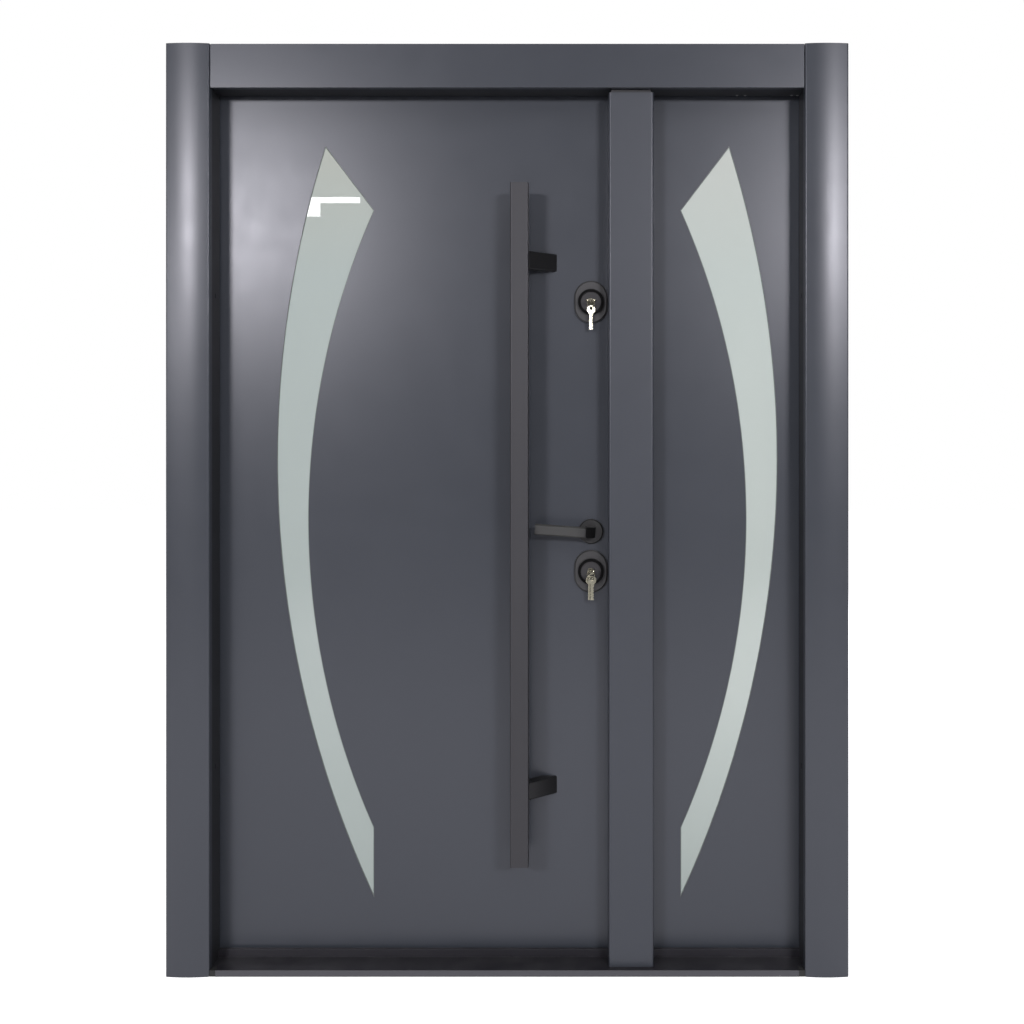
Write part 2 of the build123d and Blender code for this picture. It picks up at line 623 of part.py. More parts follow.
def make_key(name, lock_z, turn_deg):
    """Plug of a cylinder with the key that stands in it, its bow turned by the given angle."""
    turn = radians(turn_deg)
    neck_end = PLUG_FACE_Y - KEY_NECK_LENGTH
    bow_plane = Plane(
        origin=(LOCK_X, neck_end, lock_z),
        x_dir=(cos(turn), 0, sin(turn)),
        z_dir=(-sin(turn), 0, cos(turn)),
    )
    with BuildPart() as key:
        add_round(LOCK_X, lock_z, (PLUG_FACE_Y, LEAF_FACE_Y - TURNING_FIT), PLUG_R)
        add_round(LOCK_X, lock_z, (neck_end - KEY_NECK_OVERLAP, PLUG_FACE_Y), KEY_NECK_R)
        with BuildSketch(bow_plane):
            with Locations((0, -KEY_BOW_LENGTH / 2)):
                RectangleRounded(KEY_BOW_WIDTH, KEY_BOW_LENGTH, KEY_BOW_CORNER_R)
        extrude(amount=KEY_THICKNESS / 2, both=True)
    save(key, name)


def spare_key_outline(key_plane):
    """Outline of a spare key below the ring wire: round bow with its hole, and a blade cut on one side."""
    bow_z = SPARE_HOLE_R + SPARE_HOLE_RIM - SPARE_BOW_R - SPARE_HANG
    tip_z = bow_z + SPARE_BOW_R - SPARE_LENGTH
    blade_edge = SPARE_BLADE_WIDTH / 2
    with BuildSketch(key_plane) as outline:
        with Locations((0, bow_z)):
            Circle(SPARE_BOW_R)
        with Locations((0, (bow_z + tip_z) / 2)):
            Rectangle(SPARE_BLADE_WIDTH, bow_z - tip_z)
        for place, depth in enumerate(SPARE_CUTS):
            middle_z = tip_z + SPARE_CUT_PITCH * (place + 1)
            with BuildLine():
                Polyline(
                    (blade_edge, middle_z - SPARE_CUT_PITCH / 2),
                    (blade_edge - depth, middle_z),
                    (blade_edge, middle_z + SPARE_CUT_PITCH / 2),
                    close=True,
                )
            make_face(mode=Mode.SUBTRACT)
        with Locations((0, -SPARE_HANG)):
            Circle(SPARE_HOLE_R, mode=Mode.SUBTRACT)
    return outline.sketch


def add_spare_keys(lock_z, hang_degs):
    """Key ring of flat wire on the neck of a key with its spare keys, added to the open block."""
    turn = radians(RING_TURN_DEG)
    face = radians(SPARE_TURN_DEG)
    ring_y = PLUG_FACE_Y - KEY_NECK_LENGTH / 2
    ring_z = lock_z + KEY_NECK_R + RING_PLAY + RING_WIRE / 2 - RING_R
    ring_plane = Plane(
        origin=(LOCK_X, ring_y, ring_z),
        x_dir=(cos(turn), sin(turn), 0),
        z_dir=(sin(turn), -cos(turn), 0),
    )
    with BuildSketch(ring_plane) as ring:
        Circle(RING_R + RING_WIRE / 2)
        Circle(RING_R - RING_WIRE / 2, mode=Mode.SUBTRACT)
    extrude(ring.sketch, amount=RING_WIRE / 2, both=True)
    for hang_deg in hang_degs:
        hang = radians(hang_deg)
        key_plane = Plane(
            origin=(
                LOCK_X + RING_R * cos(hang) * cos(turn),
                ring_y + RING_R * cos(hang) * sin(turn),
                ring_z + RING_R * sin(hang),
            ),
            x_dir=(sin(face), cos(face), 0),
            z_dir=(cos(face), -sin(face), 0),
        )
        extrude(spare_key_outline(key_plane), amount=KEY_THICKNESS / 2, both=True)


def make_spare_keys():
    """Rings with the spare keys at both locks: one key at the upper lock, two at the lower lock."""
    with BuildPart() as spares:
        add_spare_keys(HIGH_LOCK_Z, HIGH_HANG_DEGS)
        add_spare_keys(LOW_LOCK_Z, LOW_HANG_DEGS)
    save(spares, "spare_keys")


def make_faceplates():
    """Lock faceplates let into the free edge of the main leaf."""
    plate_y = (LEAF_MIDDLE_Y - FACEPLATE_WIDTH / 2, LEAF_MIDDLE_Y + FACEPLATE_WIDTH / 2)
    with BuildPart() as plates:
        for plate_z in (FACEPLATE_LOW, FACEPLATE_HIGH):
            add_bar((MAIN_RIGHT - FACEPLATE_THICKNESS, MAIN_RIGHT), plate_y, plate_z)
    save(plates, "lock_faceplates")


# Fixed frame
make_jamb("left_jamb", -1)
make_jamb("right_jamb", 1)
make_frame_head()
make_casing("left_casing", -1)
make_casing("right_casing", 1)
make_head_casing()
make_threshold()
make_threshold_stop()
make_post()
edge_room = (STOP_WIDTH - SEAL_WIDTH) / 2
post_room = (POST_LAP - SEAL_WIDTH) / 2
make_seal(
    "main_leaf_seal",
    -CLEAR_HALF,
    POST_LEFT,
    -CLEAR_HALF - STOP_WIDTH + edge_room,
    POST_LEFT + post_room,
)
make_seal(
    "side_leaf_seal",
    POST_RIGHT,
    CLEAR_HALF,
    POST_RIGHT - POST_LAP + post_room,
    CLEAR_HALF + edge_room,
)

# Main leaf and its fittings
make_leaf("main_leaf", -LEAF_EDGE, MAIN_RIGHT, GLASS_MAIN_INSET - CLEAR_HALF, -1, True)
make_hinges("main_leaf", -1)
make_pull()
make_lock_plates("outer_lock_plates", -1, LEAF_FACE_Y)
make_lock_plates("inner_lock_plates", 1, LEAF_BACK_Y)
make_lever("outer_lever", -1, LEAF_FACE_Y, False)
make_lever("inner_lever", 1, LEAF_BACK_Y, True)
make_collars()
make_key("upper_key", HIGH_LOCK_Z, HIGH_KEY_TURN_DEG)
make_key("lower_key", LOW_LOCK_Z, LOW_KEY_TURN_DEG)
make_spare_keys()
make_faceplates()

# Side leaf
make_leaf("side_leaf", SIDE_LEFT, LEAF_EDGE, CLEAR_HALF - GLASS_SIDE_INSET, 1, False)
make_hinges("side_leaf", 1)
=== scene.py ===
import json
import logging
import math
from dataclasses import dataclass, field
from enum import Enum
from functools import cache

import bmesh
import bpy
from mathutils import Matrix, Vector


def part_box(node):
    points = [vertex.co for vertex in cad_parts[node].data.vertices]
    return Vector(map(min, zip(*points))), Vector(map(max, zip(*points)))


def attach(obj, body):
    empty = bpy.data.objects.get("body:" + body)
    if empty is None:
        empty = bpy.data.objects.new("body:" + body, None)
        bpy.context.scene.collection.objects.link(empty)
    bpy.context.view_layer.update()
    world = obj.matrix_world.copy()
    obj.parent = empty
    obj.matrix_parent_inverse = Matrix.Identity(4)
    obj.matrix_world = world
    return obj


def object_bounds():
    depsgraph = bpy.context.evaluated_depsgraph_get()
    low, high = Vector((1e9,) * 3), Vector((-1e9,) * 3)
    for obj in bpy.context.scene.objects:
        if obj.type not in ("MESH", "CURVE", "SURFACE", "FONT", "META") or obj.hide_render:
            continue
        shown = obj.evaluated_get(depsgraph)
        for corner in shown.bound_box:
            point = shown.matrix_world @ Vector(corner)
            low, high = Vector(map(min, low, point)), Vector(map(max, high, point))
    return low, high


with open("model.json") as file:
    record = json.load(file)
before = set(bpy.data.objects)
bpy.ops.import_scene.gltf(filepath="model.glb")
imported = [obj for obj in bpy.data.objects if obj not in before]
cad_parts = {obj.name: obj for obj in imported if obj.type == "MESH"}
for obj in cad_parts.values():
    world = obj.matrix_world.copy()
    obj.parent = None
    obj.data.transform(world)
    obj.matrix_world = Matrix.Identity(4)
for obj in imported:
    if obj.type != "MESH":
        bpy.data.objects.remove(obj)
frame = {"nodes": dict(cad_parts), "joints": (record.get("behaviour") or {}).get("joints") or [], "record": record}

CAD_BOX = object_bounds()
LOG = logging.getLogger("door")
Colour = tuple[float, float, float]
Place = tuple[float, float, float]
Point = tuple[float, float]

TO_STREET: Place = (0.0, -1.0, 0.0)
TO_HOUSE: Place = (0.0, 1.0, 0.0)
TO_RIGHT: Place = (1.0, 0.0, 0.0)
DOWN: Place = (0.0, 0.0, -1.0)
SHARP_ANGLE = math.radians(35.0)


class Body(Enum):
    """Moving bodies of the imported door."""

    FRAME = "frame"
    MAIN_LEAF = "main_leaf"
    SIDE_LEAF = "side_leaf"
    LEVER = "lever"
    UPPER_KEY = "upper_key"
    LOWER_KEY = "lower_key"


class Slot(Enum):
    """Material slots of the record, given with each added piece."""

    PAINT = "anthracite_paint"
    RUBBER = "black_rubber"
    STEEL = "bright_steel"
    NICKEL = "key_nickel"


class Grain(Enum):
    """Direction in which a metal was brushed, as the fineness of its grain along X, Y and Z."""

    ALONG_Z = (1400.0, 1400.0, 30.0)
    ROUND = (700.0, 700.0, 700.0)


class Measure(Enum):
    """What a patch of a second colour is measured from, as the share of X, Y and Z in the distance."""

    PLANE_ACROSS_X = (1.0, 0.0, 0.0)
    PLANE_ACROSS_Y = (0.0, 1.0, 0.0)
    LINE_ALONG_Y = (1.0, 0.0, 1.0)


class Recess(Enum):
    """Shape sunk into the flat top of a turned piece."""

    NONE = "none"
    CROSS = "cross"
    HEXAGON = "hexagon"
    KEYWAY = "keyway"

    def outline(self, radius: float) -> list[Point]:
        """Points of the recess in the top face, for a piece of the given radius."""
        if self is Recess.CROSS:
            arm = 0.52 * radius
            half = 0.12 * radius
            quarter = [Vector((arm, -half)), Vector((arm, half)), Vector((half, half))]
            turns = [Matrix.Rotation(math.pi / 2 * turn, 2) for turn in range(4)]
            return [tuple(turn @ point) for turn in turns for point in quarter]
        if self is Recess.HEXAGON:
            reach = 0.55 * radius
            angles = [math.pi / 3 * side for side in range(6)]
            return [(reach * math.cos(angle), reach * math.sin(angle)) for angle in angles]
        if self is Recess.KEYWAY:
            shape = ((-0.1, -0.62), (0.14, -0.62), (0.14, -0.2), (0.04, -0.1), (0.04, 0.1), (0.14, 0.2),
                     (0.14, 0.6), (-0.1, 0.6), (-0.1, 0.3), (-0.18, 0.2), (-0.18, -0.05), (-0.1, -0.15))
            return [(x * radius, y * radius) for x, y in shape]
        return []


class Tree:
    """Thin wrapper that adds and links shader nodes."""

    def __init__(self, tree: bpy.types.NodeTree) -> None:
        """Keeps the node tree that is being built."""
        self.tree = tree

    def add(self, kind: str, **settings: object) -> bpy.types.Node:
        """Adds a node and sets its properties.

        Args:
            kind: type of the node.
            settings: properties of the node.

        Returns:
            The new node.
        """
        node = self.tree.nodes.new(kind)
        for key, value in settings.items():
            setattr(node, key, value)
        return node

    def link(self, source: bpy.types.NodeSocket, target: bpy.types.NodeSocket) -> None:
        """Links two sockets."""
        self.tree.links.new(source, target)

    def feed(self, target: bpy.types.NodeSocket, value: object) -> None:
        """Links a socket to the target, or sets the target's own value."""
        if isinstance(value, bpy.types.NodeSocket):
            self.link(value, target)
        else:
            target.default_value = value

    def math(self, operation: str, first: object, second: object = 0.0,
             clamp: bool = False) -> bpy.types.NodeSocket:
        """Adds a math node.

        Args:
            operation: name of the operation.
            first: socket or number.
            second: socket or number.
            clamp: keeps the result between 0 and 1.

        Returns:
            The result's socket.
        """
        node = self.add("ShaderNodeMath", operation=operation, use_clamp=clamp)
        self.feed(node.inputs[0], first)
        self.feed(node.inputs[1], second)
        return node.outputs[0]

    def product(self, first: object, second: object, third: object) -> bpy.types.NodeSocket:
        """Multiplies three values, clamped."""
        return self.math("MULTIPLY", self.math("MULTIPLY", first, second), third, True)

    def vector(self, operation: str, first: object, second: object) -> bpy.types.Node:
        """Adds a vector math node.

        Args:
            operation: name of the operation.
            first: socket or vector.
            second: socket or vector.

        Returns:
            The node, whose first output is a vector and whose second is a number.
        """
        node = self.add("ShaderNodeVectorMath", operation=operation)
        self.feed(node.inputs[0], first)
        self.feed(node.inputs[1], second)
        return node

    def ramp(self, value: bpy.types.NodeSocket, source: Point, target: Point) -> bpy.types.NodeSocket:
        """Maps a value from one range to another, clamped.

        Args:
            value: socket that is mapped.
            source: ends of the incoming range.
            target: results at those ends.

        Returns:
            The mapped value's socket.
        """
        node = self.add("ShaderNodeMapRange")
        node.inputs["From Min"].default_value, node.inputs["From Max"].default_value = source
        node.inputs["To Min"].default_value, node.inputs["To Max"].default_value = target
        self.link(value, node.inputs["Value"])
        return node.outputs["Result"]

    def mix(self, factor: bpy.types.NodeSocket, first: object, second: object) -> bpy.types.NodeSocket:
        """Mixes two colours.

        Args:
            factor: socket of the share of the second colour.
            first: socket or colour.
            second: socket or colour.

        Returns:
            The mixed colour's socket.
        """
        node = self.add("ShaderNodeMix", data_type="RGBA")
        self.link(factor, node.inputs["Factor"])
        for place, value in ((6, first), (7, second)):
            self.feed(node.inputs[place], (*value, 1.0) if isinstance(value, tuple) else value)
        return node.outputs[2]

    def noise(self, vector: bpy.types.NodeSocket, scale: object, detail: float) -> bpy.types.NodeSocket:
        """Adds a noise texture.

        Args:
            vector: socket of the coordinates.
            scale: socket or number.
            detail: number of octaves.

        Returns:
            The noise value's socket.
        """
        node = self.add("ShaderNodeTexNoise")
        node.inputs["Detail"].default_value = detail
        self.feed(node.inputs["Scale"], scale)
        self.link(vector, node.inputs["Vector"])
        return node.outputs["Fac"]


class EffectGroups:
    """Shader node groups for effects that several finishes share, each built once."""

    drift_scales = (2.3, 19.0)
    drift_shares = (0.65, 0.35)
    gloss_swing = 0.05
    peel_scale = 950.0
    streak_stretch = (46.0, 46.0, 9.0)
    dust_scale = 24.0
    rub_scale = 85.0

    def start(self, name: str, inputs: dict[str, object],
              outputs: dict[str, str]) -> tuple[Tree, dict, dict]:
        """Makes an empty group with named sockets, whose first input is the coordinates.

        Args:
            name: name of the group.
            inputs: default value of each input, a number, a colour of four or a vector of three.
            outputs: kind of each output, Float or Color.

        Returns:
            The tree wrapper, the sockets that come in and the sockets that go out.
        """
        group = bpy.data.node_groups.new(name, "ShaderNodeTree")
        group.interface.new_socket(name="Vector", in_out="INPUT", socket_type="NodeSocketVector")
        for label, default in inputs.items():
            size = len(default) if isinstance(default, tuple) else 1
            kind = {1: "NodeSocketFloat", 3: "NodeSocketVector", 4: "NodeSocketColor"}[size]
            socket = group.interface.new_socket(name=label, in_out="INPUT", socket_type=kind)
            socket.default_value = default
        for label, kind in outputs.items():
            group.interface.new_socket(name=label, in_out="OUTPUT", socket_type="NodeSocket" + kind)
        tree = Tree(group)
        return tree, tree.add("NodeGroupInput").outputs, tree.add("NodeGroupOutput").inputs

    @cache
    def powder_coat(self) -> bpy.types.NodeTree:
        """Skin of a baked paint: slow colour drift, a slightly uneven gloss and a very fine peel."""
        inputs = {"Colour": (0.1, 0.1, 0.1, 1.0), "Roughness": 0.3, "Drift": 0.08}
        outputs = {"Colour": "Color", "Roughness": "Float", "Height": "Float"}
        tree, start, end = self.start("powder_coat", inputs, outputs)
        slow = tree.noise(start["Vector"], self.drift_scales[0], 3.0)
        cloud = tree.noise(start["Vector"], self.drift_scales[1], 4.0)
        both = tree.math("ADD", tree.math("MULTIPLY", slow, self.drift_shares[0]),
                         tree.math("MULTIPLY", cloud, self.drift_shares[1]))
        swing = tree.math("MULTIPLY", tree.math("SUBTRACT", both, 0.5), start["Drift"])
        tint = tree.add("ShaderNodeHueSaturation")
        tree.link(start["Colour"], tint.inputs["Color"])
        tree.link(tree.math("ADD", swing, 1.0), tint.inputs["Value"])
        tree.link(tint.outputs["Color"], end["Colour"])
        gloss = tree.math("MULTIPLY", tree.math("SUBTRACT", cloud, 0.5), self.gloss_swing)
        tree.link(tree.math("ADD", start["Roughness"], gloss, True), end["Roughness"])
        tree.link(tree.noise(start["Vector"], self.peel_scale, 2.0), end["Height"])
        return tree.tree

    @cache
    def hand_marks(self) -> bpy.types.NodeTree:
        """Dull smears and wiped streaks that handling leaves on a clean surface."""
        tree, start, end = self.start("hand_marks", {"Scale": 6.0, "Cover": 0.3}, {"Mask": "Float"})
        broad = tree.noise(start["Vector"], start["Scale"], 5.0)
        stretch = tree.vector("MULTIPLY", start["Vector"], self.streak_stretch)
        streak = tree.noise(stretch.outputs[0], 1.0, 3.0)
        patch = tree.ramp(broad, (0.5, 0.78), (0.0, 1.0))
        wiped = tree.ramp(streak, (0.42, 0.7), (0.35, 1.0))
        tree.link(tree.product(patch, wiped, start["Cover"]), end["Mask"])
        return tree.tree

    @cache
    def settled_dust(self) -> bpy.types.NodeTree:
        """Dust that lies on faces that look up, in uneven patches."""
        tree, start, end = self.start("settled_dust", {"Amount": 0.3}, {"Mask": "Float"})
        parts = tree.add("ShaderNodeSeparateXYZ")
        tree.link(tree.add("ShaderNodeNewGeometry").outputs["Normal"], parts.inputs[0])
        upward = tree.ramp(parts.outputs["Z"], (0.35, 0.95), (0.0, 1.0))
        patch = tree.ramp(tree.noise(start["Vector"], self.dust_scale, 6.0), (0.38, 0.72), (0.15, 1.0))
        tree.link(tree.product(upward, patch, start["Amount"]), end["Mask"])
        return tree.tree

    @cache
    def noisy_edge_mask(self) -> bpy.types.NodeTree:
        """Mask of sharp edges, broken up as handling rubs them; the threshold uses it for a painted highlight
        along its edges.
        """
        tree, start, end = self.start("noisy_edge_mask", {"Radius": 0.0012, "Amount": 0.4}, {"Mask": "Float"})
        rounded = tree.add("ShaderNodeBevel", samples=4)
        tree.link(start["Radius"], rounded.inputs["Radius"])
        facing = tree.add("ShaderNodeNewGeometry").outputs["Normal"]
        turn = tree.vector("DOT_PRODUCT", rounded.outputs["Normal"], facing)
        edge = tree.ramp(turn.outputs["Value"], (0.995, 0.86), (0.0, 1.0))
        broken = tree.ramp(tree.noise(start["Vector"], self.rub_scale, 4.0), (0.35, 0.65), (0.25, 1.0))
        tree.link(tree.product(edge, broken, start["Amount"]), end["Mask"])
        return tree.tree

    @cache
    def brushed(self) -> bpy.types.NodeTree:
        """Fine parallel scratches of brushed metal."""
        tree, start, end = self.start("brushed", {"Fineness": (700.0, 700.0, 700.0)}, {"Grain": "Float"})
        stretch = tree.vector("MULTIPLY", start["Vector"], start["Fineness"])
        tree.link(tree.noise(stretch.outputs[0], 1.0, 3.0), end["Grain"])
        return tree.tree

    @cache
    def near(self) -> bpy.types.NodeTree:
        """Mask of what lies within a reach of a plane, a line or a point."""
        inputs = {"Centre": (0.0, 0.0, 0.0), "Share": (1.0, 0.0, 1.0), "Reach": 0.01, "Soft": 0.001}
        tree, start, end = self.start("near", inputs, {"Mask": "Float"})
        away = tree.vector("SUBTRACT", start["Vector"], start["Centre"])
        counted = tree.vector("MULTIPLY", away.outputs[0], start["Share"])
        length = tree.add("ShaderNodeVectorMath", operation="LENGTH")
        tree.link(counted.outputs[0], length.inputs[0])
        left = tree.math("SUBTRACT", start["Reach"], length.outputs["Value"])
        tree.link(tree.math("ADD", tree.math("DIVIDE", left, start["Soft"]), 0.5, True), end["Mask"])
        return tree.tree


EFFECTS = EffectGroups()


class MaterialDraft:
    """A material in the making: its tree, its Principled shader and its coordinates."""

    def __init__(self, name: str) -> None:
        """Makes the material with a Principled shader."""
        self.material = bpy.data.materials.new(name)
        self.material.use_nodes = True
        self.tree = Tree(self.material.node_tree)
        self.shader = self.material.node_tree.nodes["Principled BSDF"]
        self.coordinates = self.tree.add("ShaderNodeTexCoord").outputs["Object"]

    def group(self, group: bpy.types.NodeTree, **values: object) -> bpy.types.Node:
        """Places an effect group with its own values and the material's coordinates.

        Args:
            group: the effect.
            values: numbers, colours or vectors for its inputs.

        Returns:
            The group node.
        """
        node = self.tree.add("ShaderNodeGroup", node_tree=group)
        self.tree.link(self.coordinates, node.inputs["Vector"])
        for name, value in values.items():
            node.inputs[name].default_value = value
        return node

    def bump(self, height: bpy.types.NodeSocket, strength: float, distance: float) -> None:
        """Feeds a height into the shader's normal.

        Args:
            height: socket of the height.
            strength: strength of the bump.
            distance: depth of the bump in metres.
        """
        node = self.tree.add("ShaderNodeBump")
        node.inputs["Strength"].default_value = strength
        node.inputs["Distance"].default_value = distance
        self.tree.link(height, node.inputs["Height"])
        self.tree.link(node.outputs["Normal"], self.shader.inputs["Normal"])

    def set(self, **values: object) -> None:
        """Sets plain values on the shader's own sockets, with spaces written as underscores."""
        for name, value in values.items():
            self.shader.inputs[name.replace("_", " ")].default_value = value

    def connect(self, **sockets: bpy.types.NodeSocket) -> None:
        """Links sockets to the shader's inputs, with spaces written as underscores."""
        for name, socket in sockets.items():
            self.tree.link(socket, self.shader.inputs[name.replace("_", " ")])


@dataclass(frozen=True)
class Patch:
    """A second colour within a reach of a plane or a line."""

    centre: Place
    measure: Measure
    reach: float
    colour: Colour
    soft: float = 0.0008


@dataclass(frozen=True)
class PaintFinish:
    """Baked paint on steel."""

    name: str
    colour: Colour
    roughness: float = 0.3
    drift: float = 0.1
    peel: float = 0.05
    marks: float = 0.25
    dust: float = 0.25
    edge: float = 0.25
    edge_colour: Colour = (0.07, 0.075, 0.085)
    dust_colour: Colour = (0.2, 0.2, 0.2)
    specular: float = 0.5
    sheen_tint: Colour = (0.94, 0.92, 1.0)
    patches: tuple[Patch, ...] = ()
    mark_scale: float = 5.0
    edge_radius: float = 0.0012
    dulling: float = 0.22
    peel_depth: float = 0.0002

    @cache
    def material(self) -> bpy.types.Material:
        """Builds the paint."""
        draft = MaterialDraft(self.name)
        tree = draft.tree
        tone = (*self.colour, 1.0)
        coat = draft.group(EFFECTS.powder_coat(), Colour=tone, Roughness=self.roughness, Drift=self.drift)
        marks = draft.group(EFFECTS.hand_marks(), Scale=self.mark_scale, Cover=self.marks).outputs["Mask"]
        dust = draft.group(EFFECTS.settled_dust(), Amount=self.dust).outputs["Mask"]
        edge = draft.group(EFFECTS.noisy_edge_mask(), Radius=self.edge_radius, Amount=self.edge).outputs["Mask"]
        colour = coat.outputs["Colour"]
        for patch in self.patches:
            near = draft.group(EFFECTS.near(), Centre=patch.centre, Share=patch.measure.value,
                               Reach=patch.reach, Soft=patch.soft)
            colour = tree.mix(near.outputs["Mask"], colour, patch.colour)
        # edge colour: rubbed wear on most paints, a painted highlight on the threshold
        edge_wear_and_highlight = tree.mix(edge, colour, self.edge_colour)
        dull = tree.math("MULTIPLY", tree.math("ADD", marks, dust), self.dulling)
        draft.connect(Base_Color=tree.mix(dust, edge_wear_and_highlight, self.dust_colour),
                      Roughness=tree.math("ADD", coat.outputs["Roughness"], dull, True))
        draft.set(Specular_IOR_Level=self.specular, Specular_Tint=(*self.sheen_tint, 1.0))
        draft.bump(coat.outputs["Height"], self.peel, self.peel_depth)
        return draft.material


@dataclass(frozen=True)
class GlassFinish:
    """Pale frosted glass with a glossy face, with painted shade that makes it a little darker towards its foot."""

    name: str
    colour: Colour
    painted_foot_shade_colour: Colour
    tip_colour: Colour
    painted_foot_shade_span: Point = (0.62, 0.15)
    tip_span: Point = (1.55, 1.84)
    cloud_scale: float = 1.4
    cloud_span: Point = (-0.12, 0.12)
    rim_radius: float = 0.004
    rim_amount: float = 0.5
    rim_colour: Colour = (0.25, 0.36, 0.33)
    frost_scale: float = 2600.0
    frost_roughness: Point = (0.5, 0.62)
    face_roughness: float = 0.004
    face_ior: float = 1.5
    specular: float = 0.2

    @cache
    def material(self) -> bpy.types.Material:
        """Builds the glass."""
        draft = MaterialDraft(self.name)
        tree = draft.tree
        parts = tree.add("ShaderNodeSeparateXYZ")
        tree.link(draft.coordinates, parts.inputs[0])
        # painted shade: the pane's colour darkens towards its foot
        foot = tree.ramp(parts.outputs["Z"], self.painted_foot_shade_span, (0.0, 1.0))
        tip = tree.ramp(parts.outputs["Z"], self.tip_span, (0.0, 1.0))
        cloud = tree.ramp(tree.noise(draft.coordinates, self.cloud_scale, 2.0), (0.35, 0.65), self.cloud_span)
        rim = draft.group(EFFECTS.noisy_edge_mask(), Radius=self.rim_radius, Amount=self.rim_amount)
        low = tree.mix(tree.math("ADD", foot, cloud, True), self.colour, self.painted_foot_shade_colour)
        body = tree.mix(tip, low, self.tip_colour)
        frost = tree.noise(draft.coordinates, self.frost_scale, 1.0)
        draft.connect(Base_Color=tree.mix(rim.outputs["Mask"], body, self.rim_colour),
                      Roughness=tree.ramp(frost, (0.3, 0.7), self.frost_roughness))
        draft.set(Coat_Weight=1.0, Coat_Roughness=self.face_roughness, Coat_IOR=self.face_ior,
                  Specular_IOR_Level=self.specular)
        return draft.material


@dataclass(frozen=True)
class RubberFinish:
    """Matt sealing rubber or silicone."""

    name: str
    colour: Colour
    roughness: float = 0.75
    drift: float = 0.3
    dust: float = 0.2
    dust_colour: Colour = (0.12, 0.12, 0.12)
    grain: float = 0.15
    grain_depth: float = 0.0003

    @cache
    def material(self) -> bpy.types.Material:
        """Builds the rubber."""
        draft = MaterialDraft(self.name)
        tone = (*self.colour, 1.0)
        coat = draft.group(EFFECTS.powder_coat(), Colour=tone, Roughness=self.roughness, Drift=self.drift)
        dust = draft.group(EFFECTS.settled_dust(), Amount=self.dust).outputs["Mask"]
        colour = draft.tree.mix(dust, coat.outputs["Colour"], self.dust_colour)
        draft.connect(Base_Color=colour, Roughness=coat.outputs["Roughness"])
        draft.bump(coat.outputs["Height"], self.grain, self.grain_depth)
        return draft.material


@dataclass(frozen=True)
class MetalFinish:
    """Bare or plated metal with a brushed grain."""

    name: str
    colour: Colour
    dark: Colour
    roughness: float
    grain: Grain
    rougher: float = 0.12
    mark_scale: float = 40.0
    mark_cover: float = 0.6
    grain_share: float = 0.5
    grain_strength: float = 0.08
    grain_depth: float = 0.0001

    @cache
    def material(self) -> bpy.types.Material:
        """Builds the metal."""
        draft = MaterialDraft(self.name)
        tree = draft.tree
        grain = draft.group(EFFECTS.brushed(), Fineness=self.grain.value).outputs["Grain"]
        marks = draft.group(EFFECTS.hand_marks(), Scale=self.mark_scale, Cover=self.mark_cover)
        lines = tree.ramp(grain, (0.3, 0.7), (0.0, self.grain_share))
        smears = tree.math("MULTIPLY", marks.outputs["Mask"], 1.0 - self.grain_share)
        worn = tree.math("ADD", lines, smears, True)
        gloss = tree.ramp(grain, (0.3, 0.7), (self.roughness, self.roughness + self.rougher))
        draft.connect(Base_Color=tree.mix(worn, self.colour, self.dark), Roughness=gloss)
        draft.set(Metallic=1.0)
        draft.bump(grain, self.grain_strength, self.grain_depth)
        return draft.material


def joint_place(name: str) -> Vector:
    """Place of a joint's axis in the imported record."""
    return Vector(next(joint["pos_m"] for joint in frame["joints"] if joint["name"] == name))


LEVER_AXIS = joint_place("lever_turn")
LOCK_AXES = (joint_place("upper_key_turn"), joint_place("lower_key_turn"))
LIP_FRONT_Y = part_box("threshold")[0].y
ELBOW_REACH = 0.012
ROSE_RADIUS = 0.028
COLLAR_CORE_RADIUS = 0.0235

ANTHRACITE = PaintFinish("anthracite_paint", (0.037, 0.041, 0.052), roughness=0.29, peel=0.02, marks=0.1)
# Darker paint for the jambs, frame head and anchor caps: its darkness is partly the frame's own colour and partly
# painted shade of the reveals.
SHADED_JAMB_PAINT = PaintFinish(
    "jamb_paint_shaded", (0.018, 0.0185, 0.021), roughness=0.42, marks=0.1, edge=0.1, specular=0.3,
)
POST_PAINT = PaintFinish("post_paint", (0.034, 0.038, 0.049), roughness=0.36, edge=0.0)
BAR_PAINT = PaintFinish("pull_bar_paint", (0.019, 0.0184, 0.0215), roughness=0.46, dust=0.1, edge=0.1)
BLACK_METAL = PaintFinish(
    "black_metal", (0.006, 0.006, 0.0065), roughness=0.42, drift=0.2, dust=0.08, edge=0.15,
    edge_colour=(0.03, 0.03, 0.03),
)
LEVER_PAINT = PaintFinish(
    "lever_paint", (0.036, 0.036, 0.035), roughness=0.36, edge=0.3, edge_colour=(0.09, 0.09, 0.088),
    patches=(
        # painted shade: soft darkening across the lever's face towards the elbow, standing in for the shade of the
        # rounded bend
        Patch(tuple(LEVER_AXIS), Measure.PLANE_ACROSS_X, ELBOW_REACH + 0.010, (0.014, 0.014, 0.014), 0.022),
        Patch(tuple(LEVER_AXIS), Measure.PLANE_ACROSS_X, ELBOW_REACH + 0.001, (0.003, 0.003, 0.003), 0.006),
    ),
)
PLATE_PAINT = PaintFinish(
    "lock_plate_paint", (0.034, 0.033, 0.034), roughness=0.36, edge=0.1, edge_colour=(0.02, 0.02, 0.02),
    patches=(Patch(tuple(LEVER_AXIS), Measure.LINE_ALONG_Y, ROSE_RADIUS + 0.001, (0.013, 0.013, 0.0125)),),
)
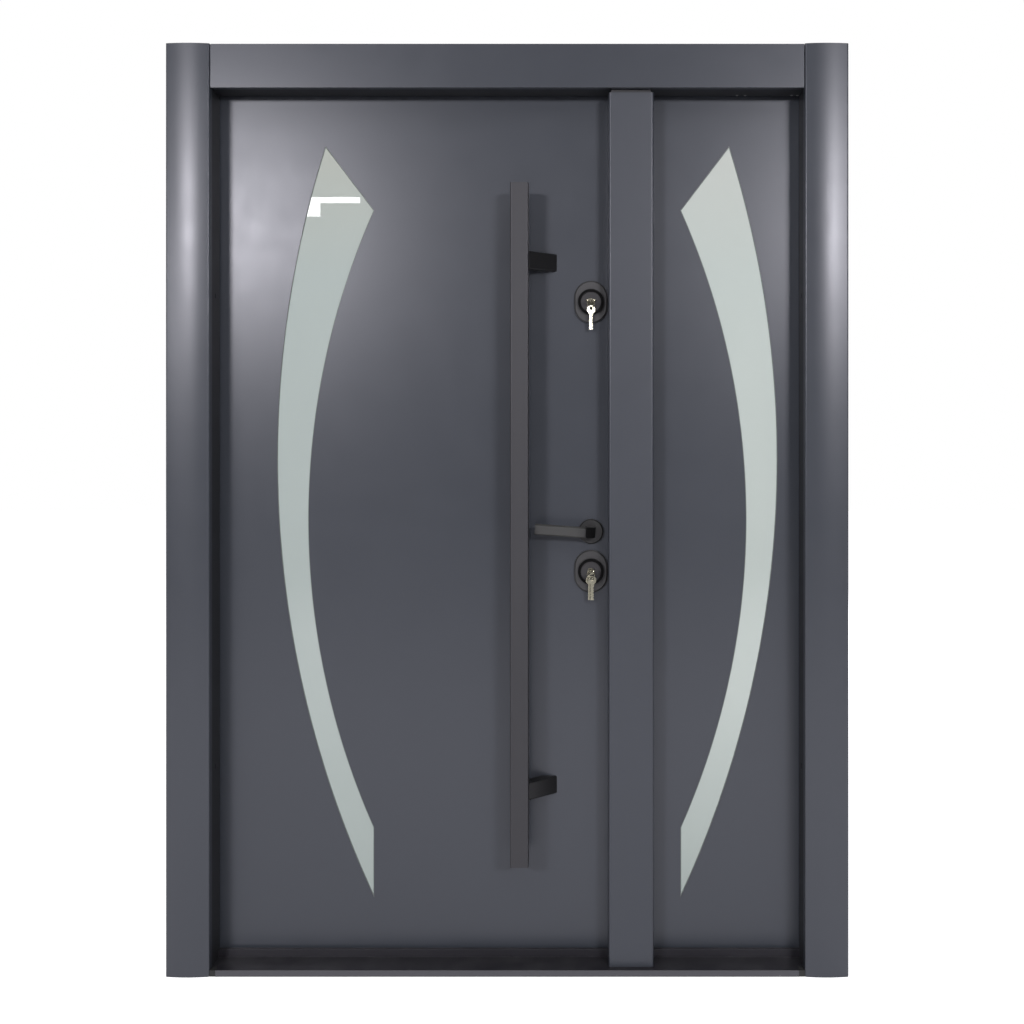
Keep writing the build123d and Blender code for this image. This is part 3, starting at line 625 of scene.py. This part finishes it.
COLLAR_PAINT = PaintFinish(
    "lock_collar_paint", (0.001, 0.001, 0.001), roughness=0.55, drift=0.2, dust=0.0, edge=0.0,
    specular=0.08,
    patches=tuple(
        Patch(tuple(axis), Measure.LINE_ALONG_Y, COLLAR_CORE_RADIUS - 0.0006, (0.05, 0.048, 0.052))
        for axis in LOCK_AXES
    ),
)
THRESHOLD_PAINT = PaintFinish(
    "threshold_paint", (0.013, 0.0122, 0.016), roughness=0.38, drift=0.5, marks=0.8, dust=0.1, edge=0.35,
    # the pale edge colour here is a painted highlight along the threshold's edges, broken up like wear
    edge_colour=(0.16, 0.155, 0.14),
    patches=(Patch((0.0, LIP_FRONT_Y, 0.0), Measure.PLANE_ACROSS_Y, 0.001, (0.058, 0.057, 0.066)),),
)
# Both panes are the same frosted glass: the wide pane's darker tones are painted shade and the narrow pane's
# lighter tones are painted light.
SHADED_WIDE_GLASS = GlassFinish(
    "frosted_glass_wide_shaded", (0.352, 0.394, 0.388), (0.312, 0.355, 0.346), (0.365, 0.382, 0.352),
)
LIT_NARROW_GLASS = GlassFinish(
    "frosted_glass_narrow_lit", (0.443, 0.485, 0.471), (0.308, 0.35, 0.341), (0.44, 0.458, 0.44),
)
RUBBER = RubberFinish("black_rubber", (0.012, 0.012, 0.013))
SILICONE = RubberFinish("grey_silicone", (0.14, 0.15, 0.148))
ZINC = MetalFinish("zinc_steel", (0.42, 0.42, 0.43), (0.25, 0.25, 0.26), 0.32, Grain.ALONG_Z)
NICKEL = MetalFinish("key_nickel", (0.4, 0.38, 0.31), (0.12, 0.11, 0.08), 0.18, Grain.ROUND)
Finish = PaintFinish | GlassFinish | RubberFinish | MetalFinish


def rounded_rectangle(width: float, height: float, corner: float, steps: int = 5) -> list[Point]:
    """Outline of a rectangle with round corners.

    Args:
        width: full width.
        height: full height.
        corner: radius of the corners.
        steps: points in each corner.

    Returns:
        The points, counterclockwise.
    """
    points = []
    for quarter, (sign_x, sign_y) in enumerate(((1, 1), (-1, 1), (-1, -1), (1, -1))):
        for step in range(steps):
            angle = math.pi / 2 * (quarter + step / (steps - 1))
            points.append((sign_x * (width / 2 - corner) + corner * math.cos(angle),
                           sign_y * (height / 2 - corner) + corner * math.sin(angle)))
    return points


def arc_through(first: Point, middle: Point, last: Point, steps: int) -> list[Point]:
    """Points of the arc through three points.

    Args:
        first: start of the arc.
        middle: a point on it.
        last: end of the arc.
        steps: number of chords.

    Returns:
        The points from the first to the last.
    """
    (ax, ay), (bx, by), (cx, cy) = first, middle, last
    scale = 2 * (ax * (by - cy) + bx * (cy - ay) + cx * (ay - by))
    a_sum, b_sum, c_sum = ax * ax + ay * ay, bx * bx + by * by, cx * cx + cy * cy
    centre = Vector(((a_sum * (by - cy) + b_sum * (cy - ay) + c_sum * (ay - by)) / scale,
                     (a_sum * (cx - bx) + b_sum * (ax - cx) + c_sum * (bx - ax)) / scale))
    start = Vector(first) - centre
    sweep = -start.angle_signed(Vector(last) - centre)
    turns = [Matrix.Rotation(sweep * step / steps, 2) for step in range(steps + 1)]
    return [tuple(centre + turn @ start) for turn in turns]


def grown(points: list[Point], amount: float) -> list[Point]:
    """Closed outline moved outwards by the same amount all round.

    Args:
        points: the outline, in either direction.
        amount: how far it moves.

    Returns:
        The moved outline.
    """
    pairs = list(zip(points, points[1:] + points[:1]))
    area = sum(ax * by - bx * ay for (ax, ay), (bx, by) in pairs)
    side = 1.0 if area > 0 else -1.0
    normals = [side * Vector((by - ay, ax - bx)).normalized() for (ax, ay), (bx, by) in pairs]
    moved = []
    for place, point in enumerate(points):
        both = normals[place - 1] + normals[place]
        moved.append(tuple(Vector(point) + both * (2 * amount / both.length_squared)))
    return moved


def screw_head(radius: float, rise: float, sunk: float, top_share: float = 0.93) -> list[Point]:
    """Profile of a countersunk screw head.

    Args:
        radius: radius of the head.
        rise: how far its top stands out.
        sunk: how far its foot lies in the plate.
        top_share: radius of its top as a share of the whole.

    Returns:
        Radius and height of each ring, from the foot to the top.
    """
    return [(radius, -sunk), (radius, rise * 0.5), (radius * top_share, rise)]


class MeshDraft:
    """A mesh in the making, in the frame of the door."""

    def __init__(self) -> None:
        """Starts with an empty mesh."""
        self.mesh = bmesh.new()

    def loft(self, rings: list[list[Vector]]) -> list[list[bmesh.types.BMVert]]:
        """Joins closed rings of points by quads.

        Args:
            rings: rings with the same number of points.

        Returns:
            The new vertices, ring by ring.
        """
        rows = [[self.mesh.verts.new(point) for point in ring] for ring in rings]
        for low, high in zip(rows, rows[1:]):
            for place in range(len(low)):
                self.mesh.faces.new((low[place - 1], low[place], high[place], high[place - 1]))
        return rows

    def close(self, outer: list[bmesh.types.BMVert], inner: list[bmesh.types.BMVert] | None = None) -> None:
        """Fills a flat face inside one ring, or between two rings."""
        edges = []
        for ring in (outer, inner or []):
            for place in range(len(ring)):
                pair = (ring[place - 1], ring[place])
                edges.append(self.mesh.edges.get(pair) or self.mesh.edges.new(pair))
        bmesh.ops.triangle_fill(self.mesh, use_beauty=True, edges=edges)

    def turned(self, profile: list[Point], place: Vector, direction: Place, recess: Recess = Recess.NONE,
               depth: float = 0.0, sides: int = 28) -> None:
        """Adds a turned piece with a flat top, which may have a recess.

        Args:
            profile: radius and height of each ring from the foot to the top.
            place: middle of its foot.
            direction: way in which it points.
            recess: shape that is sunk into its top.
            depth: how deep the recess goes.
            sides: number of sides.
        """
        turn = Vector(direction).to_track_quat("Z", "Y").to_matrix()
        angles = [2 * math.pi * side / sides for side in range(sides)]
        rings = [[place + turn @ Vector((radius * math.cos(angle), radius * math.sin(angle), height))
                  for angle in angles] for radius, height in profile]
        rows = self.loft(rings)
        self.close(rows[0])
        top_ring = rows[-1]
        top_radius, top = profile[-1]
        sunk = recess.outline(top_radius)
        if not sunk:
            self.close(top_ring)
            return
        levels = [[place + turn @ Vector((x, y, height)) for x, y in sunk] for height in (top - depth, top)]
        floor_ring, rim_ring = self.loft(levels)
        self.close(floor_ring)
        self.close(top_ring, rim_ring)

    def bolt_end(self, size: Point, corner: float, rise: float, place: Vector, direction: Place,
                 bevel: float = 0.0003) -> None:
        """Adds the bevelled end of a flat bolt or strip.

        Args:
            size: width and height of the bolt.
            corner: radius of its corners.
            rise: how far it stands out.
            place: middle of its foot.
            direction: way in which it points.
            bevel: size of the bevel round its end.
        """
        turn = Vector(direction).to_track_quat("Z", "Y").to_matrix()
        rings = []
        for inset, height in ((0.0, 0.0), (0.0, rise - bevel), (bevel, rise)):
            outline = rounded_rectangle(size[0] - 2 * inset, size[1] - 2 * inset, corner - inset)
            rings.append([place + turn @ Vector((x, y, height)) for x, y in outline])
        rows = self.loft(rings)
        self.close(rows[0])
        self.close(rows[-1])

    def bead(self, outline: list[Point], depth_y: float, radius: float, sides: int = 8) -> None:
        """Adds a round bead along a closed outline in an upright plane.

        Args:
            outline: X and Z of the bead's middle line.
            depth_y: Y of its middle line.
            radius: radius of the bead.
            sides: number of sides.
        """
        rings = []
        for side in range(sides):
            angle = 2 * math.pi * side / sides
            ring = grown(outline, radius * math.cos(angle))
            rings.append([Vector((x, depth_y + radius * math.sin(angle), z)) for x, z in ring])
        self.loft(rings)
        bmesh.ops.bridge_loops(self.mesh, edges=self.open_edges())

    def open_edges(self) -> list[bmesh.types.BMEdge]:
        """Edges that have a face on one side only."""
        return [edge for edge in self.mesh.edges if edge.is_boundary]


@dataclass
class SubAssembly:
    """Pieces that belong together on one body."""

    body: Body

    def paint(self, finish: Finish, *nodes: str) -> None:
        """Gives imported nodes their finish.

        Args:
            finish: the finish.
            nodes: names of the nodes.
        """
        for name in nodes:
            data = frame["nodes"][name].data
            data.materials.clear()
            data.materials.append(finish.material())
            LOG.info("dressed %s with %s", name, finish.name)

    def build(self) -> None:
        """Builds the added pieces, of which a sub-assembly may have none."""

    def dress(self) -> None:
        """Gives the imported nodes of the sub-assembly their finishes."""

    def settle(self, name: str, draft: MeshDraft, finish: Finish, slot: Slot,
               body: Body | None = None) -> None:
        """Turns a drafted mesh into a piece that rides on a body.

        Args:
            name: name of the piece.
            draft: the mesh, which is freed.
            finish: its finish.
            slot: the record's material slot; not used.
            body: the body that carries it, if not this sub-assembly's own.
        """
        bmesh.ops.recalc_face_normals(draft.mesh, faces=draft.mesh.faces)
        data = bpy.data.meshes.new(name)
        draft.mesh.to_mesh(data)
        draft.mesh.free()
        data.set_sharp_from_angle(angle=SHARP_ANGLE)
        data.materials.append(finish.material())
        piece = bpy.data.objects.new(name, data)
        bpy.context.scene.collection.objects.link(piece)
        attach(piece, (body or self.body).value)
        LOG.info("built %s with %d faces", name, len(data.polygons))


@dataclass
class WallFrame(SubAssembly):
    """Jambs, head and casings, with the caps over the wall anchors and the screws in the head."""

    body: Body = Body.FRAME
    cap_radius: float = 0.0064
    cap_rise: float = 0.0012
    head_screws_x: tuple[float, ...] = (0.513, 0.531, 0.636, 0.649)
    head_screws_y: float = 0.05
    head_screw_radius: float = 0.003
    seal_width: float = 0.012
    seal_thickness: float = 0.003
    seal_corner: float = 0.002

    def build(self) -> None:
        """Builds the small pieces."""
        self.build_anchor_caps()
        self.build_head_screws()
        self.build_joint_seals()

    def build_joint_seals(self) -> None:
        """Dark strips of sealant behind the joints of the head casing."""
        draft = MeshDraft()
        low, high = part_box("head_casing")
        size = (self.seal_width, high.z - low.z)
        middle_z = (low.z + high.z) / 2
        for x in (low.x, high.x):
            place = Vector((x, 0.0, middle_z))
            draft.bolt_end(size, self.seal_corner, self.seal_thickness, place, TO_STREET)
        self.settle("casing_joint_seals", draft, RUBBER, Slot.RUBBER)

    def build_anchor_caps(self) -> None:
        """Caps in the paint's colour over the anchor holes of the jambs."""
        draft = MeshDraft()
        profile = [(self.cap_radius, 0.0), (self.cap_radius, self.cap_rise * 0.4),
                   (self.cap_radius * 0.82, self.cap_rise * 0.85), (self.cap_radius * 0.5, self.cap_rise)]
        for mount in frame["record"]["mounts"]:
            if mount["kind"] == "bolt_pattern":
                middle = Vector(mount["pos_m"])
                inwards = tuple(-axis for axis in mount["axis"])
                half = mount["dims"]["spacing_y_mm"] / 2000.0
                for height in (-half, half):
                    draft.turned(profile, middle + Vector((0.0, 0.0, height)), inwards)
        self.settle("anchor_caps", draft, SHADED_JAMB_PAINT, Slot.PAINT)

    def build_head_screws(self) -> None:
        """Bright screw heads under the frame head."""
        draft = MeshDraft()
        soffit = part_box("frame_head")[0].z
        radius = self.head_screw_radius
        profile = [(radius, 0.0), (radius * 0.95, radius * 0.3), (radius * 0.7, radius * 0.5)]
        for x in self.head_screws_x:
            place = Vector((x, self.head_screws_y, soffit))
            draft.turned(profile, place, DOWN, Recess.CROSS, radius * 0.3)
        self.settle("head_screws", draft, ZINC, Slot.STEEL)

    def dress(self) -> None:
        """Paints the frame and its casings, the jambs and head in a darker paint that partly paints in the
        reveals' shade, and blackens its seals.
        """
        self.paint(ANTHRACITE, "left_casing", "right_casing", "head_casing")
        self.paint(SHADED_JAMB_PAINT, "left_jamb", "right_jamb", "frame_head")
        self.paint(RUBBER, "main_leaf_seal", "side_leaf_seal")


@dataclass
class Threshold(SubAssembly):
    """Dark tread with its pale front lip and the upstand, and the sealed ends of the lip."""

    body: Body = Body.FRAME
    lip_height: float = 0.014
    end_gap: float = 0.013
    end_setback: float = 0.0005
    end_corner: float = 0.0004

    def build(self) -> None:
        """Fills of sealant between the ends of the lip and the casings."""
        draft = MeshDraft()
        rise = -LIP_FRONT_Y - self.end_setback
        size = (self.end_gap, self.lip_height)
        for casing, side in (("left_casing", 1), ("right_casing", -1)):
            inner_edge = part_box(casing)[1 if side > 0 else 0].x
            place = Vector((inner_edge + side * self.end_gap / 2, 0.0, self.lip_height / 2))
            draft.bolt_end(size, self.end_corner, rise, place, TO_STREET, self.end_corner / 2)
        self.settle("lip_end_fills", draft, RUBBER, Slot.RUBBER)

    def dress(self) -> None:
        """Paints the threshold, with painted highlights along its edges."""
        self.paint(THRESHOLD_PAINT, "threshold", "threshold_stop")


@dataclass
class CentrePost(SubAssembly):
    """Fixed post between the leaves."""

    body: Body = Body.FRAME

    def dress(self) -> None:
        """Paints the post, with a darker spigot at its head, whose black is partly its own finish and partly
        painted shade under the frame head.
        """
        self.paint(POST_PAINT, "post_cover", "post_core")
        # black spigot: partly painted shade under the frame head
        self.paint(BLACK_METAL, "post_spigot")


@dataclass
class Leaf(SubAssembly):
    """One leaf with its crescent panes, and the bead of silicone around each pane."""

    edge_side: int = 1
    glass: GlassFinish = SHADED_WIDE_GLASS
    tip_reach: float = 0.1085
    inner_reach: float = 0.148
    top_slant: float = 0.143
    foot_edge: float = 0.152
    outer_share: float = 0.579
    bead_radius: float = 0.0011
    bead_gap: float = 0.0015
    arc_steps: int = 72

    def crescent(self) -> list[Point]:
        """Outline of the pane: slanting top, inner arc, straight foot and outer arc.

        Returns:
            X and Z of its points.
        """
        low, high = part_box(self.body.value + "_outer_glass")
        edge_x = high.x if self.edge_side > 0 else low.x
        away = -self.edge_side
        tip = (edge_x + away * self.tip_reach, high.z)
        top_corner = (edge_x, high.z - self.top_slant)
        low_corner = (edge_x, low.z + self.foot_edge)
        inner_middle = (edge_x + away * self.inner_reach, (top_corner[1] + low_corner[1]) / 2)
        outer_middle = (edge_x + away * (high.x - low.x), low.z + (high.z - low.z) * self.outer_share)
        inner = arc_through(top_corner, inner_middle, low_corner, self.arc_steps)
        outer = arc_through((edge_x, low.z), outer_middle, tip, self.arc_steps)
        return inner + outer

    def build(self) -> None:
        """Builds the bead around the street pane and the one around the house pane."""
        outline = grown(self.crescent(), self.bead_gap / 2)
        for side, face in (("outer", 0), ("inner", 1)):
            draft = MeshDraft()
            depth_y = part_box(f"{self.body.value}_{side}_glass")[face].y
            draft.bead(outline, depth_y, self.bead_radius)
            self.settle(f"{self.body.value}_{side}_bead", draft, SILICONE, Slot.RUBBER)

    def dress(self) -> None:
        """Paints the leaf and frosts its panes."""
        name = self.body.value
        self.paint(ANTHRACITE, name + "_outer_panel", name + "_core", name + "_inner_panel")
        self.paint(self.glass, name + "_outer_glass", name + "_inner_glass")


@dataclass
class HingeSet(SubAssembly):
    """Three lift-off hinges of one leaf, with the screws of both halves."""

    screw_radius: float = 0.0042
    screw_rise: float = 0.0004
    plate_thickness: float = 0.003
    plate_width: float = 0.032
    plate_length: float = 0.0595
    screw_inset: float = 0.015
    hinge_length: float = 0.12
    hinge_count: int = 3
    recess_depth: float = 0.0006

    def build(self) -> None:
        """Builds the screws on the frame halves and those on the leaf halves."""
        name = self.body.value
        outward = -1.0 if name == Body.MAIN_LEAF.value else 1.0
        frame_low, frame_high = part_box(name + "_hinge_frame_halves")
        leaf_low, leaf_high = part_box(name + "_hinge_leaf_halves")
        frame_edge = frame_low.x if outward < 0 else frame_high.x
        leaf_edge = leaf_high.x if outward < 0 else leaf_low.x
        lowest = frame_low.z
        pitch = (leaf_high.z - self.hinge_length - lowest) / (self.hinge_count - 1)
        frame_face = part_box("left_jamb")[1].y + self.plate_thickness
        leaf_face = leaf_low.y + self.plate_thickness
        for label, body, x, y, lift in (
            ("frame", Body.FRAME, frame_edge - outward * self.plate_width / 2, frame_face, 0.0),
            ("leaf", self.body, leaf_edge + outward * self.plate_width / 2, leaf_face,
             self.hinge_length - self.plate_length),
        ):
            draft = MeshDraft()
            for hinge in range(self.hinge_count):
                for along in (self.screw_inset, self.plate_length - self.screw_inset):
                    place = Vector((x, y, lowest + pitch * hinge + lift + along))
                    self.add_screw(draft, place)
            self.settle(f"{name}_{label}_hinge_screws", draft, ZINC, Slot.STEEL, body)

    def add_screw(self, draft: MeshDraft, place: Vector) -> None:
        """Adds one countersunk screw head that faces the house."""
        profile = screw_head(self.screw_radius, self.screw_rise, self.screw_rise)
        draft.turned(profile, place, TO_HOUSE, Recess.CROSS, self.recess_depth)

    def dress(self) -> None:
        """Plates both halves."""
        name = self.body.value
        self.paint(ZINC, name + "_hinge_frame_halves", name + "_hinge_leaf_halves")


@dataclass
class PullHandle(SubAssembly):
    """Long square bar on two slanting arms."""

    body: Body = Body.MAIN_LEAF

    def dress(self) -> None:
        """Paints the bar and blackens its arms."""
        self.paint(BAR_PAINT, "pull_bar")
        self.paint(BLACK_METAL, "upper_pull_arm", "lower_pull_arm")


@dataclass
class LeverSet(SubAssembly):
    """Outer and inner lever, with the grub screws under their necks."""

    body: Body = Body.LEVER
    grub_radius: float = 0.0026
    grub_rise: float = 0.0003
    neck_half_height: float = 0.012
    neck_reach: float = 0.021
    rise_deg: float = 4.0
    grub_top_share: float = 0.9
    grub_depth: float = 0.00048
    grub_sides: int = 20

    def build(self) -> None:
        """Builds a grub screw in the underside of each neck."""
        draft = MeshDraft()
        rise = math.radians(self.rise_deg)
        down = Vector((-math.sin(rise), 0.0, -math.cos(rise)))
        faces = (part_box("main_leaf_outer_panel")[0].y - self.neck_reach,
                 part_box("main_leaf_inner_panel")[1].y + self.neck_reach)
        profile = screw_head(self.grub_radius, self.grub_rise, self.grub_rise, self.grub_top_share)
        for y in faces:
            place = Vector((LEVER_AXIS.x, y, LEVER_AXIS.z)) + down * self.neck_half_height
            draft.turned(profile, place, tuple(down), Recess.HEXAGON, self.grub_depth, self.grub_sides)
        self.settle("grub_screws", draft, ZINC, Slot.STEEL)

    def dress(self) -> None:
        """Paints both levers, black at the elbow, with painted shade that darkens the face softly towards it."""
        self.paint(LEVER_PAINT, "outer_lever", "inner_lever")


@dataclass
class LockSet(SubAssembly):
    """Plates, collars and faceplates of the locks, the inner cylinders and the drawn-back bolts."""

    body: Body = Body.MAIN_LEAF
    plug_radius: float = 0.0079
    plug_sunk: float = 0.001
    plug_bevel: float = 0.0006
    plug_sides: int = 36
    plate_depth: float = 0.008
    keyway_depth: float = 0.003
    plate_screw_inset: float = 0.012
    plate_screw_radius: float = 0.0042
    plate_screw_rise: float = 0.0004
    plate_screw_sunk: float = 0.0003
    plate_screw_recess: float = 0.0006
    bolt_radius: float = 0.008
    bolt_rise: float = 0.0006
    high_bolt_pitch: float = 0.028
    low_bolt_pitch: float = 0.03
    low_bolt_drop: float = 0.035
    latch_size: Point = (0.018, 0.028)
    latch_corner: float = 0.002
    high_plate_half: float = 0.08
    low_plate_half: float = 0.16

    def build(self) -> None:
        """Builds the cylinders, the bolts and the faceplate screws."""
        self.build_inner_cylinders()
        self.build_bolts()
        self.build_faceplate_screws()

    def build_inner_cylinders(self) -> None:
        """Plugs with a keyway in the inner escutcheons."""
        draft = MeshDraft()
        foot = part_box("main_leaf_inner_panel")[1].y
        length = self.plate_depth - self.plug_sunk
        radius = self.plug_radius
        bevel = self.plug_bevel
        profile = [(radius, 0.0), (radius, length - bevel), (radius - bevel, length)]
        for axis in LOCK_AXES:
            place = Vector((axis.x, foot, axis.z))
            draft.turned(profile, place, TO_HOUSE, Recess.KEYWAY, self.keyway_depth, self.plug_sides)
        self.settle("inner_cylinders", draft, NICKEL, Slot.NICKEL)

    def build_bolts(self) -> None:
        """Ends of the dead bolts and of the latch, drawn back into the faceplates."""
        draft = MeshDraft()
        low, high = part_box("lock_faceplates")
        middle_y = (low.y + high.y) / 2
        upper, lower = LOCK_AXES
        radius = self.bolt_radius
        profile = [(radius, 0.0), (radius, self.bolt_rise * 0.5), (radius - self.bolt_rise, self.bolt_rise)]
        heights = [upper.z + step * self.high_bolt_pitch for step in (-1, 0, 1)]
        heights += [lower.z - self.low_bolt_drop + step * self.low_bolt_pitch / 2 for step in (-1, 1)]
        for height in heights:
            draft.turned(profile, Vector((high.x, middle_y, height)), TO_RIGHT)
        latch = Vector((high.x, middle_y, LEVER_AXIS.z))
        draft.bolt_end(self.latch_size, self.latch_corner, self.bolt_rise, latch, TO_RIGHT)
        self.settle("bolt_ends", draft, NICKEL, Slot.NICKEL)

    def build_faceplate_screws(self) -> None:
        """Countersunk screws at both ends of each faceplate."""
        draft = MeshDraft()
        low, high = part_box("lock_faceplates")
        middle_y = (low.y + high.y) / 2
        upper, lower = LOCK_AXES
        profile = screw_head(self.plate_screw_radius, self.plate_screw_rise, self.plate_screw_sunk)
        low_middle = (LEVER_AXIS.z + lower.z) / 2
        for middle, half in ((upper.z, self.high_plate_half), (low_middle, self.low_plate_half)):
            reach = half - self.plate_screw_inset
            for height in (middle - reach, middle + reach):
                place = Vector((high.x, middle_y, height))
                draft.turned(profile, place, TO_RIGHT, Recess.CROSS, self.plate_screw_recess)
        self.settle("faceplate_screws", draft, ZINC, Slot.STEEL)

    def dress(self) -> None:
        """Paints the plates and collars, and plates the keys and faceplates."""
        self.paint(PLATE_PAINT, "outer_lock_plates", "inner_lock_plates")
        self.paint(COLLAR_PAINT, "lock_collars")
        self.paint(NICKEL, "spare_keys")
        self.paint(ZINC, "lock_faceplates")


@dataclass
class KeyInLock(SubAssembly):
    """A key that stands in its cylinder."""

    def dress(self) -> None:
        """Plates the key."""
        self.paint(NICKEL, self.body.value)


@dataclass(frozen=True)
class Lamp:
    """A soft rectangular lamp."""

    name: str
    place: Place
    aim: Place
    width: float
    height: float
    watts: float
    mirrored: bool = True
    spread: bool = True

    def build(self) -> None:
        """Adds the lamp to the scene."""
        data = bpy.data.lights.new(self.name, "AREA")
        data.shape = "RECTANGLE"
        data.size = self.width
        data.size_y = self.height
        data.energy = self.watts
        lamp = bpy.data.objects.new(self.name, data)
        lamp.location = self.place
        lamp.visible_glossy = self.mirrored
        lamp.visible_diffuse = self.spread
        lamp.rotation_euler = (Vector(self.aim) - Vector(self.place)).to_track_quat("-Z", "Y").to_euler()
        bpy.context.scene.collection.objects.link(lamp)
        LOG.info("lamp %s", self.name)


@dataclass
class Studio:
    """Floor, world, lamps and camera."""

    floor_half: float = 14.0
    floor_gap: float = 0.0005
    floor_albedo: float = 0.7
    floor_white: Point = (0.84, 1.0)
    white_reach: Point = (1.2, 4.0)
    floor_mirrored: float = 0.8
    paper_near_y: float = -2.2
    paper_far_y: float = -5.0
    ambient: float = 0.12
    behind_span: Point = (0.0, 0.25)
    lens: float = 44.03
    sensor_width: float = 36.0
    view_reach: float = 100.0
    camera_place: Place = (0.182, -2.77, 1.2226)
    shift: Point = (-0.0762, -0.0898)
    lamps: tuple[Lamp, ...] = field(default_factory=lambda: (
        Lamp("left_softbox", (-2.35, -5.6, 2.56), (0.0, 0.0, 1.1), 0.9, 0.45, 140.0),
        Lamp("right_softbox", (2.45, -5.6, 2.56), (0.0, 0.0, 1.1), 1.0, 0.45, 152.0),
        Lamp("left_edge_box", (-3.6, -5.2, 2.05), (-0.7, 0.0, 1.4), 0.9, 0.5, 40.0, spread=False),
        Lamp("right_edge_box", (3.7, -5.2, 2.4), (0.7, 0.0, 1.4), 0.9, 0.5, 42.0, spread=False),
        Lamp("front_fill", (0.0, -4.6, 4.8), (0.0, 0.0, 1.0), 7.0, 3.0, 140.0, False),
        Lamp("glint_bar", (-1.615, -5.6, 2.716), (-1.615, 0.0, 2.716), 0.47, 0.04, 1.2),
        Lamp("glint_block", (-1.75, -5.6, 2.65), (-1.75, 0.0, 2.65), 0.2, 0.09, 1.2),
        Lamp("house_side_wash", (1.4, 5.5, 2.8), (0.0, 0.0, 1.0), 2.4, 1.6, 160.0),
    ))

    def floor_material(self) -> bpy.types.Material:
        """Builds the floor's material: white to the camera and in reflections, with the door's shadow.

        Returns:
            The material.
        """
        material = bpy.data.materials.new("pale_floor")
        material.use_nodes = True
        tree = Tree(material.node_tree)
        material.node_tree.nodes.clear()
        path = tree.add("ShaderNodeLightPath")
        parts = tree.add("ShaderNodeSeparateXYZ")
        place = tree.add("ShaderNodeTexCoord").outputs["Object"]
        tree.link(place, parts.inputs[0])
        paper = tree.ramp(parts.outputs["Y"], (self.paper_far_y, self.paper_near_y),
                          (0.0, self.floor_mirrored))
        mirrored = tree.math("MULTIPLY", path.outputs["Is Glossy Ray"], paper)
        seen = tree.math("MAXIMUM", path.outputs["Is Camera Ray"], path.outputs["Is Transmission Ray"])
        matt = tree.add("ShaderNodeBsdfDiffuse")
        matt.inputs["Color"].default_value = (self.floor_albedo, self.floor_albedo, self.floor_albedo, 1.0)
        glow = tree.add("ShaderNodeEmission")
        away = tree.add("ShaderNodeVectorMath", operation="LENGTH")
        tree.link(place, away.inputs[0])
        white = tree.ramp(away.outputs["Value"], self.white_reach, self.floor_white)
        tree.link(tree.math("ADD", mirrored, tree.math("MULTIPLY", seen, white)), glow.inputs["Strength"])
        both = tree.add("ShaderNodeAddShader")
        tree.link(matt.outputs[0], both.inputs[0])
        tree.link(glow.outputs[0], both.inputs[1])
        tree.link(both.outputs[0], tree.add("ShaderNodeOutputMaterial").inputs["Surface"])
        return material

    def build_floor(self) -> None:
        """Adds the pale floor just under the door."""
        mesh = bmesh.new()
        bmesh.ops.create_grid(mesh, x_segments=1, y_segments=1, size=self.floor_half)
        data = bpy.data.meshes.new("floor")
        mesh.to_mesh(data)
        mesh.free()
        data.materials.append(self.floor_material())
        floor = bpy.data.objects.new("floor", data)
        floor.location.z = CAD_BOX[0].z - self.floor_gap
        bpy.context.scene.collection.objects.link(floor)

    def build_world(self) -> None:
        """World that is white to the camera and behind the door, with a low even light elsewhere."""
        world = bpy.data.worlds.new("studio")
        bpy.context.scene.world = world
        world.use_nodes = True
        tree = Tree(world.node_tree)
        world.node_tree.nodes.clear()
        path = tree.add("ShaderNodeLightPath")
        parts = tree.add("ShaderNodeSeparateXYZ")
        tree.link(tree.add("ShaderNodeTexCoord").outputs["Generated"], parts.inputs[0])
        behind = tree.ramp(parts.outputs["Y"], self.behind_span, (0.0, 1.0))
        mirrored = tree.math("MULTIPLY", path.outputs["Is Glossy Ray"], behind)
        seen = tree.math("MAXIMUM", path.outputs["Is Camera Ray"], path.outputs["Is Transmission Ray"])
        light = tree.add("ShaderNodeBackground")
        white = tree.math("MAXIMUM", seen, mirrored)
        tree.link(tree.ramp(white, (0.0, 1.0), (self.ambient, 1.0)), light.inputs["Strength"])
        light.inputs["Color"].default_value = (1.0, 1.0, 1.0, 1.0)
        tree.link(light.outputs[0], tree.add("ShaderNodeOutputWorld").inputs["Surface"])

    def build_camera(self) -> None:
        """Camera at the photograph's place, level, with the shift of its framing."""
        data = bpy.data.cameras.new("camera")
        data.lens = self.lens
        data.sensor_width = self.sensor_width
        data.shift_x, data.shift_y = self.shift
        data.clip_end = self.view_reach
        camera = bpy.data.objects.new("camera", data)
        camera.location = self.camera_place
        camera.rotation_euler = (math.pi / 2, 0.0, 0.0)
        bpy.context.scene.collection.objects.link(camera)
        bpy.context.scene.camera = camera

    def build(self) -> None:
        """Builds the whole studio."""
        self.build_floor()
        self.build_world()
        for lamp in self.lamps:
            lamp.build()
        self.build_camera()
        bpy.context.scene.view_settings.view_transform = "Standard"


def main() -> None:
    """Builds and dresses the sub-assemblies in order, then the studio around them."""
    logging.basicConfig(level=logging.INFO, format="%(message)s")
    assemblies: tuple[SubAssembly, ...] = (
        WallFrame(),
        Threshold(),
        CentrePost(),
        Leaf(Body.MAIN_LEAF, 1, SHADED_WIDE_GLASS),
        Leaf(Body.SIDE_LEAF, -1, LIT_NARROW_GLASS),
        HingeSet(Body.MAIN_LEAF),
        HingeSet(Body.SIDE_LEAF),
        PullHandle(),
        LeverSet(),
        LockSet(),
        KeyInLock(Body.UPPER_KEY),
        KeyInLock(Body.LOWER_KEY),
    )
    for assembly in assemblies:
        assembly.build()
        assembly.dress()
    Studio().build()


if __name__ == "__main__":
    main()
